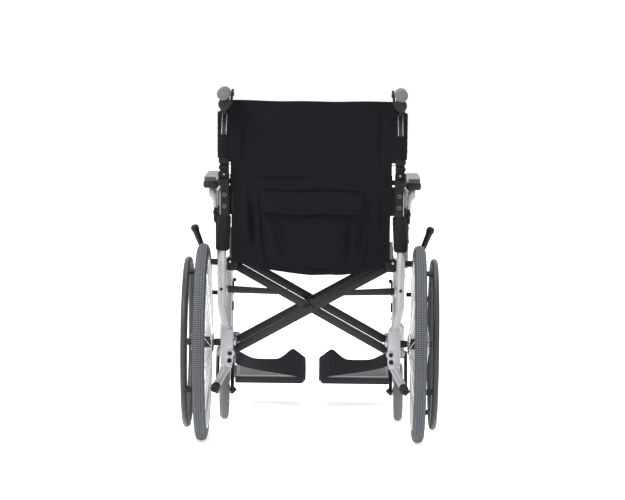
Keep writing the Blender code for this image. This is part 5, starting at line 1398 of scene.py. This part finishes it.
# %% Push grips
GRIP = 0.0165
grip_profile = [(0.0, 0.0127), (0.0, 0.016), (-0.0015, 0.0172), (-0.0045, 0.0172), (-0.006, 0.0158)]
for ridge in range(14):
    start = -0.0085 - ridge * 0.0061
    grip_profile += [
        (start, 0.0152), (start - 0.0014, GRIP - 0.0002), (start - 0.0036, GRIP - 0.0002),
        (start - 0.005, 0.0152),
    ]
grip_profile += [
    (-0.0955, 0.016), (-0.099, 0.0164), (-0.1015, 0.0158), (-0.1032, 0.0138), (-0.104, 0.01), (-0.104, 0)
]
grip = turned(grip_profile, (HANDLE_X, -0.088, HANDLE_Z), 40, closed=False, axis="Y")
grip_plug = turned(
    [(0.002, 0), (0.002, 0.008), (-0.0006, 0.009), (-0.001, 0.0075), (-0.001, 0)],
    (HANDLE_X, -0.192, HANDLE_Z), 30, closed=False, axis="Y",
)
both("push_grip", joined(grip, grip_plug), GRIP_RUBBER, "back_post", "push_grip")
print("grip", 2 * GRIP * 1000, "mm thick")

# %% Attendant levers
PIVOT = Vector((HANDLE_X, -0.07, 0.87))
TIP = Vector((HANDLE_X, -0.124, 0.826))
HOUSING_Z = 0.899
housing = [
    along_y((HANDLE_X, HOUSING_Z), -0.06, -0.105, 0.0162, 40, edge=0.0022),
    along_y((HANDLE_X, HOUSING_Z), -0.104, -0.1062, 0.0118, 32, edge=0.0008),
    block((HANDLE_X - 0.006, -0.084, 0.8955), (HANDLE_X + 0.006, -0.058, HANDLE_Z), 0.002),
    plate(
        bar_outline((PIVOT.y, PIVOT.z), 0.0045, (-0.072, 0.8895), 0.007, 10), HANDLE_X - 0.004,
        HANDLE_X + 0.004,
    ),
    rod((HANDLE_X - 0.0072, PIVOT.y, PIVOT.z), (HANDLE_X + 0.0072, PIVOT.y, PIVOT.z), 0.0024, 16),
    turned(
        [
            (-0.006, 0.013), (-0.006, 0.0158), (-0.004, 0.0164), (0.004, 0.0164), (0.006, 0.0158),
            (0.006, 0.013),
        ],
        (HANDLE_X, -0.075, HANDLE_Z),
        32,
        axis="Y",
    ),
]
both("lever_housing", joined(*housing), BLACK_PLASTIC, "back_post", None)
reach = (TIP - PIVOT).length
swing = atan2(TIP.z - PIVOT.z, TIP.y - PIVOT.y)
side_outline = bar_outline((0, 0), 0.0065, (reach, 0), 0.0052, 10)
onto_lever = Matrix.Translation(PIVOT) @ Matrix.Rotation(swing, 4, "X")
core = block((-0.005, -0.003, -0.003), (0.005, reach + 0.001, 0.0005), 0.0006)
toe = rod((-0.0064, reach, 0), (0.0064, reach, 0), 0.0052, 24, edge=0.001)
cheeks = [plate(side_outline, *sorted((side * 0.0066, side * 0.005)), edge=0.0005) for side in (-1, 1)]
both("lever_cheeks", moved(joined(*cheeks), onto_lever), ZINC, "attendant_lever", None)
channel = moved(joined(core, toe), onto_lever)
both("attendant_lever", channel, BLACK_COAT, "attendant_lever", "attendant_lever")
print("lever", round(reach, 3), "m long")

# %% Cable adjusters
CABLE_Y = -0.08
adjuster = [
    block((HANDLE_X - 0.019, CABLE_Y - 0.006, 0.8955), (HANDLE_X - 0.008, CABLE_Y + 0.006, 0.905), 0.0015)
]
for foot, head, radius, sides, edge in (
    ((0.017, 0.906), (0.021, 0.938), 0.0034, 14, 0.0006),
    ((0.0193, 0.92), (0.0202, 0.929), 0.0052, 8, 0.0008),
    ((0.016, 0.898), (0.0174, 0.909), 0.0046, 6, 0.0006),
):
    ends = [(HANDLE_X - inward, CABLE_Y, z) for inward, z in (foot, head)]
    adjuster.append(rod(*ends, radius, sides, edge=edge))
both("cable_adjuster", joined(*adjuster), BLACK_PLASTIC, "back_post", None)

# %% Foam sleeves on the uprights
sleeve_points = [lean(FRAME_X, 0, 0.51), lean(FRAME_X, 0, 0.52), lean(POST_X, 0, 0.6), lean(POST_X, 0, 0.604)]
sleeve_path = rounded(sleeve_points, 0.02, 3)
sleeve_path = [sleeve_path[0] + (sleeve_path[-1] - sleeve_path[0]) * (i / 24) for i in range(25)]
swell = [1.0 - 0.12 * (abs(2 * i / 24 - 1) ** 12) + 0.012 * sin(i * 1.7) for i in range(25)]
both(
    "foam_sleeve", swept(sleeve_path, circle(0.0186, 32), sizes=swell), FOAM, "side", "lower_sleeve",
)
print("sleeve", round((sleeve_path[-1] - sleeve_path[0]).length, 3), "m long")

# %% [markdown]
# ## Wheel locks
# A clamp on the upper rail carries a pivot outside the wheel's line. The lever pushes a steel bar against the
# tyre.

# %% Wheel lock base
LOCK_OUT = 0.296
LOCK_PIVOT = (0.258, 0.454)
SHOE = (0.26452, 0.36777)
lock_base = [
    along_y((FRAME_X, UPPER_RAIL_Z), 0.235, 0.262, 0.0175, 32, edge=0.002),
    block((FRAME_X + TUBE, 0.246, 0.446), (LOCK_OUT, 0.261, 0.462), 0.003),
    rod((LOCK_OUT - 0.006, *LOCK_PIVOT), (LOCK_OUT, *LOCK_PIVOT), 0.012, 28, edge=0.001),
    rod((LOCK_OUT - 0.003, *LOCK_PIVOT), (LOCK_OUT + 0.0064, *LOCK_PIVOT), 0.003, 16),
    rod(
        (FRAME_X - 0.004, 0.2485, UPPER_RAIL_Z - 0.0165), (FRAME_X - 0.004, 0.2485, UPPER_RAIL_Z - 0.0205),
        0.0045, 14,
    ),
]
both("lock_base", joined(*lock_base), BLACK_COAT, "side", "brake_base")

# %% Wheel lock lever
near = LOCK_OUT + 0.0004
far = near + 0.005
BEND = Vector(((near + far) / 2, 0.27, 0.478))
NECK = Vector((0.3055, 0.276, 0.4985))
KNOB = Vector((0.3233, 0.28, 0.543))
lock_lever = [
    plate(bar_outline(LOCK_PIVOT, 0.01, (BEND.y, BEND.z), 0.0075, 12), near, far, edge=0.0012),
    plate(bar_outline(LOCK_PIVOT, 0.01, SHOE, 0.0055, 12), near + 0.0002, far - 0.0002, edge=0.0012),
    swept(rounded([BEND, NECK, KNOB], 0.02, 5), circle(0.0044, 18)),
    rod((far - 0.001, *LOCK_PIVOT), (far + 0.0018, *LOCK_PIVOT), 0.0062, 6),
]
both("lock_lever", joined(*lock_lever), BLACK_COAT, "brake_lever", "brake_lever")
knob_way = (KNOB - NECK).normalized()
knob_turn = Vector((1, 0, 0)).rotation_difference(knob_way).to_matrix().to_4x4()
knob_profile = [
    (-0.052, 0.0046), (-0.052, 0.007), (-0.05, 0.0077), (-0.01, 0.0088), (-0.006, 0.01), (-0.001, 0.0112)
]
knob_profile += [(0.005, 0.0108), (0.009, 0.008), (0.0108, 0.004), (0.0112, 0)]
knob = moved(turned(knob_profile, (0, 0, 0), 28, closed=False), Matrix.Translation(KNOB) @ knob_turn)
both("lock_knob", knob, BLACK_PLASTIC, "brake_lever", None)
shoe = [rod((0.259, *SHOE), (0.3075, *SHOE), 0.0058, 24, edge=0.001)]
for i in range(9):
    x = 0.261 + i * 0.005
    shoe.append(rod((x, *SHOE), (x + 0.0025, *SHOE), 0.0063, 20, edge=0.0005))
both("lock_shoe", joined(*shoe), BLACK_STEEL, "brake_lever", None)
print("lock lever", round(KNOB.z - SHOE[1], 3), "m tall")

# %% [markdown]
# ## The seat
# The seat is a sling: two layers of coated cloth between the seat rails, with a hem at each end. It sags
# between the rails and lies over them at its sides. When the brace folds, the rails come together and the cloth
# hangs in a loop between them.

# %% Seat sling
SLING_X = 0.22
SLING_FRONT = 0.43
SLING_BACK = 0.036


def sling_place(u, v):
    """A point of the seat cloth: u goes across the chair, v forward."""
    x = SLING_X * (2 * u - 1)
    y = SLING_BACK + v * (SLING_FRONT - SLING_BACK)
    share = min(abs(x) / 0.1925, 1)
    sag = 0.012 * (1 - 0.35 * (2 * v - 1) ** 2) * (1 - share**4)
    pull = 0.0012 * sin(v * 46 + 4 * abs(u - 0.5)) * exp(-(((share - 0.93) / 0.1) ** 2))
    return Vector((x, y, 0.4862 - sag + pull))


sling = piece("sling_cloth", cloth(sling_place, 96, 72), SEAT_CLOTH, None, ["seat_sling"])
thick(sling, 0.0062)
rows = [
    [sling_place(u, i / 70) + Vector((0, 0, 0.0036)) for i in range(1, 70)] for u in (0.045, 0.955, 0.1, 0.9)
]
rows += [
    [sling_place(0.02 + 0.96 * i / 60, v) + Vector((0, 0, 0.0036)) for i in range(61)] for v in (0.035, 0.965)
]
seams = piece("seat_seams", joined(*[thread_along(row) for row in rows]), THREAD, None)
hems = [
    swept(
        [sling_place(0.01 + 0.98 * i / 40, v) + Vector((0, 0, -0.0002)) for i in range(41)],
        circle(0.0042, 14), up=(0, 1, 0),
    )
    for v in (0.006, 0.994)
]
hem = piece("seat_hems", joined(*hems), SEAT_CLOTH, None)
for made in (sling, seams, hem):
    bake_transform(made)
print("seat cloth", 2 * SLING_X, "m wide")

# %% [markdown]
# ## The back
# The back is cloth, stretched between the posts. It is cut in two at the hinge, so that the back can fold.
# The lower half has a curved hem and a big pocket with a flap, and its folds hang from where the cloth is
# pulled. Folds are drawn here as soft creases along lines, which can be placed where the picture shows them.
# A simulation would put them where it liked.

# %% Folds
PANEL_X = 0.2125
PANEL_SHIFT = -0.0025
BOW = 0.01
BOW_HALF = 0.203
HEM = [
    (height,)
    for height in (
        0.4885, 0.4763, 0.4695, 0.4653, 0.4612, 0.4577, 0.4539, 0.4509, 0.4485,
        0.449, 0.4501, 0.4496, 0.4517, 0.4558, 0.4612, 0.4708, 0.4885,
    )
]


def crease(x, z, start, end, depth, wide):
    """How far a soft fold along a line pushes the cloth out at a point."""
    line = Vector((end[0] - start[0], end[1] - start[1]))
    offset = Vector((x - start[0], z - start[1]))
    share = max(0.0, min(1.0, offset.dot(line) / line.length_squared))
    gap = (offset - line * share).length
    return depth * exp(-((gap / wide) ** 2)) * sin(pi * min(max(share, 0.08), 0.92))


LOWER_FOLDS = [
    ((-0.178, 0.69), (-0.17, 0.52), 0.0055, 0.009), ((-0.16, 0.67), (-0.15, 0.5), -0.006, 0.01),
    ((-0.15, 0.64), (-0.128, 0.48), 0.0075, 0.01), ((-0.137, 0.6), (-0.105, 0.47), -0.0058, 0.008),
    ((-0.19, 0.6), (-0.12, 0.462), 0.0026, 0.01), ((0.172, 0.7), (0.168, 0.5), 0.0028, 0.009),
    ((0.15, 0.69), (0.146, 0.47), -0.003, 0.007), ((0.158, 0.62), (0.128, 0.478), 0.003, 0.008),
    ((-0.2, 0.52), (-0.06, 0.452), 0.0022, 0.01), ((0.2, 0.53), (0.07, 0.452), 0.0022, 0.01),
    ((-0.1, 0.47), (0.09, 0.455), 0.0016, 0.01),
]


def bowed(x):
    """How far forward the cloth is drawn between the posts, at a distance from its middle."""
    inside = min(max(x, -BOW_HALF), BOW_HALF)
    return -0.004 - BOW * (1 - (inside / BOW_HALF) ** 2)


def lower_place(u, v):
    """A point of the lower panel: u goes across the chair, v up from the hem."""
    hem = along(HEM, u)[0]
    z = hem + v * (0.7155 - hem)
    narrow = 0.0042 * min(1, max(0, (0.612 - z) / 0.006))
    x = (PANEL_X - narrow) * (2 * u - 1) + PANEL_SHIFT
    out = 1.7 * sum(crease(x, z, *fold) for fold in LOWER_FOLDS)
    out += 0.0009 * sin(9 * u + 7 * v) + 0.0007 * sin(31 * u) * (1 - v)
    return Vector((x, bowed(x) - 0.0032 - out, z))


# %% Lower back panel
SURFACE = Vector((0, -0.0019, 0))


def trim(places, radius, name, lift=0.0, carrier="left_side"):
    """A rolled edge or piping that follows points on the back."""
    path = [LEAN @ (place + Vector((0, lift, 0))) for place in places]
    return piece(name, swept(path, circle(radius, 12), up=(0, 1, 0)), BACK_CLOTH, carrier)


def back_sheet(name, place, columns, rows, depth, carrier="left_side", nodes=()):
    """A sheet of the back's cloth with its thickness."""
    shape = moved(cloth(place, columns, rows), LEAN)
    return thick(piece(name, shape, BACK_CLOTH, carrier, nodes, smooth=180), depth)


def across_cloth(place, v, start=0.01, steps=90):
    """Points just behind a cloth, from one side to the other at one height."""
    return [place(start + (1 - 2 * start) * i / steps, v) + SURFACE for i in range(steps + 1)]


def up_cloth(place, u, start, share):
    """Points just behind a cloth, up a share of its height."""
    return [place(u, start + share * i / 60) + SURFACE for i in range(61)]


def stitched(lines, name, carrier="left_side"):
    """Rows of stitches on the back."""
    return piece(
        name, joined(*[thread_along([LEAN @ point for point in line]) for line in lines]), THREAD, carrier
    )


lower = back_sheet("back_lower", lower_place, 130, 90, 0.0032, nodes=["back_panel_lower"])
lower_hem = trim([lower_place(i / 90, 0.004) for i in range(91)], 0.0026, "lower_hem")
lower_sides = [
    trim([lower_place(u, i / 50) for i in range(51)], 0.0024, f"lower_edge_{side}")
    for u, side in ((0.002, "l"), (0.998, "r"))
]
lower_lines = [across_cloth(lower_place, v) for v in (0.045, 0.07, 0.965)]
lower_lines += [up_cloth(lower_place, u, 0.05, 0.93) for u in (0.03, 0.06, 0.94, 0.97)]
lower_seams = stitched(lower_lines, "lower_seams")
tabs = []
for side in (-1, 1):
    for height, half in ((0.6458, 0.0387), (0.6965, 0.0065), (0.753, 0.005), (0.742, 0.001)):
        route = [
            (side * 0.206, -0.0072, height), (side * 0.212, -0.0066, height), (side * 0.219, -0.006, height)
        ]
        tabs.append(swept(route, strip(half, 0.0014), up=(0, 1, 0)))
lower_tabs = piece("lower_tabs", moved(joined(*tabs), LEAN), WEBBING, "left_side")
# The panel's side edges turn forward, and their cloth is painted pale: painted light from the side.
returns = []
for outer, inner, top in ((-0.2175, -0.206, 0.572), (0.215, 0.199, 0.536)):
    middle = (0.49 + top) / 2
    route = [(outer, -0.004, middle), ((outer + inner) / 2, -0.002, middle), (inner, -0.004, middle)]
    returns.append(swept(route, strip(top - middle, 0.001), up=(0, 1, 0)))
lower_returns = piece("lower_returns", moved(joined(*returns), LEAN), RETURN_CLOTH_PAINTED_LIGHT, "left_side")
print("lower back panel", 2 * PANEL_X, "m wide")

# %% [markdown]
# The pocket is a second cloth, sewn to the panel at its sides and foot. It is a little longer than the panel
# behind it, so it bags out and creases from its corners. A flap hangs over its mouth, and its edge is bound.

# %% Pocket and flap
POCKET_FOLDS = [
    ((-0.124, 0.6), (-0.075, 0.475), 0.008, 0.011), ((-0.1, 0.615), (-0.05, 0.52), -0.0055, 0.012),
    ((0.118, 0.61), (0.112, 0.472), 0.007, 0.009), ((0.1, 0.61), (0.098, 0.48), -0.006, 0.01),
    ((-0.06, 0.5), (0.07, 0.485), 0.003, 0.014),
    ((-0.03, 0.605), (0.04, 0.6), 0.0022, 0.01), ((0.02, 0.59), (0.09, 0.52), -0.0022, 0.012),
    ((-0.125, 0.54), (-0.1, 0.475), 0.003, 0.009),
]
POCKET_HALF = 0.132


def pocket_place(u, v):
    """A point of the pocket, which puffs out and is held at its edges."""
    x = POCKET_HALF * (2 * u - 1) * (1 - 0.012 * sin(pi * v))
    z = 0.467 + v * 0.185 + 0.0018 * sin(5 * u)
    puff = 0.0095 * sin(pi * u) ** 0.6 * sin(pi * min(v * 0.92 + 0.02, 1)) ** 0.7
    out = 1.6 * sum(crease(x, z, *fold) for fold in POCKET_FOLDS) * min(1, 9 * u, 9 * (1 - u), 7 * v + 0.1)
    return Vector((x, bowed(x) - 0.0066 - puff - out, z))


def flap_place(u, v):
    """A point of the flap, which is sewn at its top and hangs free below."""
    x = (POCKET_HALF + 0.003) * (2 * u - 1)
    low = 0.6165 + 0.004 * (2 * u - 1) ** 2 + 0.0014 * sin(11 * u + 1)
    wave = 0.002 * sin(14 * u + 2) * (1 - v) + 0.0012 * sin(29 * u) * (1 - v) ** 2
    crown = 0.004 * sin(pi * v) + 0.0215 * (1 - v) + 0.0058 * v
    drawn = 0.55 + 0.45 * min(1, 10 * u, 10 * (1 - u))
    height = 0.0565 - 0.004 * (2 * u - 1) ** 2
    return Vector((x, bowed(x) - 0.0036 - (crown + wave) * drawn, low + v * height))


pocket = back_sheet("pocket", pocket_place, 110, 80, 0.0024)
flap = back_sheet("pocket_flap", flap_place, 110, 26, 0.0028)
pocket_rim = (
    [pocket_place(0.004, 1 - i / 40) for i in range(41)] + [pocket_place(i / 60, 0.004) for i in range(1, 60)]
)
pocket_rim += [pocket_place(0.996, i / 40) for i in range(41)]
pocket_binding = trim(pocket_rim, 0.002, "pocket_binding", lift=0.0012)
flap_binding = trim([flap_place(i / 80, 0.004) for i in range(81)], 0.0022, "flap_binding")
pocket_lines = [up_cloth(pocket_place, u, 0.04, 0.92) for u in (0.028, 0.972)]
pocket_lines += [
    across_cloth(pocket_place, 0.032, 0.03), *[across_cloth(flap_place, v) for v in (0.12, 0.94, 0.86)]
]
pocket_seams = stitched(pocket_lines, "pocket_seams")
print("pocket", 2 * POCKET_HALF, "m wide")

# %% [markdown]
# The upper half has a sleeve down each side, and the post slides through it. A seam inside each sleeve closes
# it. The top edge is turned over and sewn, and a short tab goes round the post just under the grip.

# %% Upper back panel
UPPER_FOLDS = [
    ((-0.182, 0.895), (-0.18, 0.73), -0.003, 0.006), ((0.182, 0.895), (0.18, 0.73), -0.003, 0.006),
    ((-0.165, 0.88), (-0.16, 0.76), 0.0018, 0.01), ((0.165, 0.88), (0.16, 0.76), 0.0018, 0.01),
    ((-0.17, 0.86), (-0.04, 0.89), 0.0012, 0.014), ((0.17, 0.86), (0.04, 0.89), 0.0012, 0.014),
    ((-0.15, 0.735), (0.14, 0.742), 0.0016, 0.012),
]


def upper_place(u, v):
    """A point of the upper panel: u goes across the chair, v up from the hinge."""
    x = PANEL_X * (2 * u - 1) + PANEL_SHIFT
    top = 0.9112 + 0.0006 * sin(17 * u)
    z = 0.7165 + v * (top - 0.7165)
    out = 1.6 * sum(crease(x, z, *fold) for fold in UPPER_FOLDS) + 0.0008 * sin(8 * u + 5 * v)
    return Vector((x, bowed(x) - 0.0032 - out, z))


upper = back_sheet("back_upper", upper_place, 130, 70, 0.0032, "back_post_l", ["back_panel_upper"])
top_hem = trim([upper_place(i / 90, 0.996) for i in range(91)], 0.0026, "top_hem", carrier="back_post_l")
joint_line = [LEAN @ (upper_place(i / 90, 0.002) + Vector((0, -0.0016, 0))) for i in range(91)]
low_hem = piece(
    "upper_low_hem", swept(joint_line, strip(0.0046, 0.0007), up=(0, 1, 0)), BACK_CLOTH, "back_post_l"
)
upper_lines = [across_cloth(upper_place, v) for v in (0.03, 0.93, 0.955)]
upper_lines += [up_cloth(upper_place, u, 0.03, 0.92) for u in (0.066, 0.078, 0.922, 0.934)]
upper_seams = stitched(upper_lines, "upper_seams", "back_post_l")
for side, name in ((-1, "left"), (1, "right")):
    top = lean(side * POST_X, 0, 0.8805)
    foot = lean(side * POST_X, 0, 0.7574)
    path = [foot + (top - foot) * (i / 20) for i in range(21)]
    sizes = [1 + 0.015 * sin(2.1 * i) - 0.03 * (abs(2 * i / 20 - 1) ** 14) for i in range(21)]
    sleeve = [swept(path, circle(0.0186, 30), up=(0, 1, 0), sizes=[(size, 0.8 * size) for size in sizes])]
    wing = [lean(side * x, y, 0.8188) for x, y in ((0.206, -0.0072), (0.214, -0.008), (0.2225, -0.0105))]
    sleeve.append(swept(wing, strip(0.061, 0.0016), up=(0, 1, 0.12)))
    tab = [
        lean(side * x, y, 0.89)
        for x, y in ((0.186, -0.0085), (0.205, -0.01), (0.216, -0.012), (0.222, -0.014))
    ]
    sleeve.append(
        swept(tab, strip(0.017, 0.0016), up=(0, 1, 0.12), sizes=[(0.95, 1), (1.25, 1), (1.12, 1), (0.8, 1)])
    )
    piece(f"{name}_post_sleeve", joined(*sleeve), BACK_CLOTH, "back_post_" + name[0], ())
print("upper back panel with", len(UPPER_FOLDS), "folds")

# %% Each cloth piece gets a mesh of its own
lower_group = [
    lower, lower_hem, *lower_sides, lower_seams, lower_tabs, lower_returns, pocket, flap, pocket_binding,
    flap_binding, pocket_seams,
]
upper_group = [upper, top_hem, low_hem, upper_seams]
for made in lower_group + upper_group:
    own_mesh(made)
print(len(lower_group) + len(upper_group), "cloth pieces on the back")

# %% [markdown]
# ## Floor and light
# The picture is lit by a white room: big soft sources above and behind the camera, and a floor that is almost
# as bright as the air. Three area lights give the silver tubes their long highlights and a soft shadow at
# each wheel.

# %% Floor
floor_bm = bmesh.new()
bmesh.ops.create_grid(floor_bm, x_segments=1, y_segments=1, size=14)
floor_mesh = bpy.data.meshes.new("floor")
floor_bm.to_mesh(floor_mesh)
floor_bm.free()
floor = bpy.data.objects.new("floor", floor_mesh)
bpy.context.scene.collection.objects.link(floor)
floor_finish = Finish("studio_floor", (0.93, 0.93, 0.93), 0.9)
floor_mottle = floor_finish.noise(0.8, 2)
floor_finish.set(
    "Base Color", floor_finish.colours(floor_mottle, (0.925, 0.925, 0.925), (0.935, 0.935, 0.935))
)
floor_finish.set("Emission Color", (1, 1, 1, 1))
floor_finish.set("Emission Strength", 0.5)
floor_mesh.materials.append(floor_finish.material)
floor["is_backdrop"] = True

# %% Light
world = bpy.data.worlds.new("studio")
world.use_nodes = True
world.node_tree.nodes["Background"].inputs["Color"].default_value = (1, 1, 1, 1)
world.node_tree.nodes["Background"].inputs["Strength"].default_value = 1.02
bpy.context.scene.world = world
bpy.context.scene.view_settings.view_transform = "Standard"


def soft_light(name, place, aim, size, power):
    """A square soft box that faces a point."""
    lamp = bpy.data.lights.new(name, "AREA")
    lamp.shape = "SQUARE"
    lamp.size = size
    lamp.energy = power
    made = bpy.data.objects.new(name, lamp)
    made.location = place
    made.rotation_euler = (Vector(aim) - Vector(place)).to_track_quat("-Z", "Y").to_euler()
    bpy.context.scene.collection.objects.link(made)


soft_light("key", (-2.4, -2.2, 3.4), (0, 0, 0.5), 1.6, 150)
soft_light("fill", (2.6, -2.8, 2.2), (0, 0, 0.5), 2.0, 24)
soft_light("top", (0, 0.6, 3.6), (0, 0, 0.4), 2.6, 70)
print("lights", [light.name for light in bpy.data.lights])

# %% [markdown]
# ## Sizes
# The dressed chair has to stay the size of the imported one. The two boxes are gathered side by side, and the
# last line prints how much the dressed chair's box differs from the imported one.

# %% The sizes
low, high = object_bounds()
sizes = {"cad": [list(cad_low), list(cad_high)], "visual": [list(low), list(high)]}
grown = [round((h - l) - (ch - cl), 4) for l, h, cl, ch in zip(low, high, cad_low, cad_high)]
print("larger than the packed model by", grown, "m")
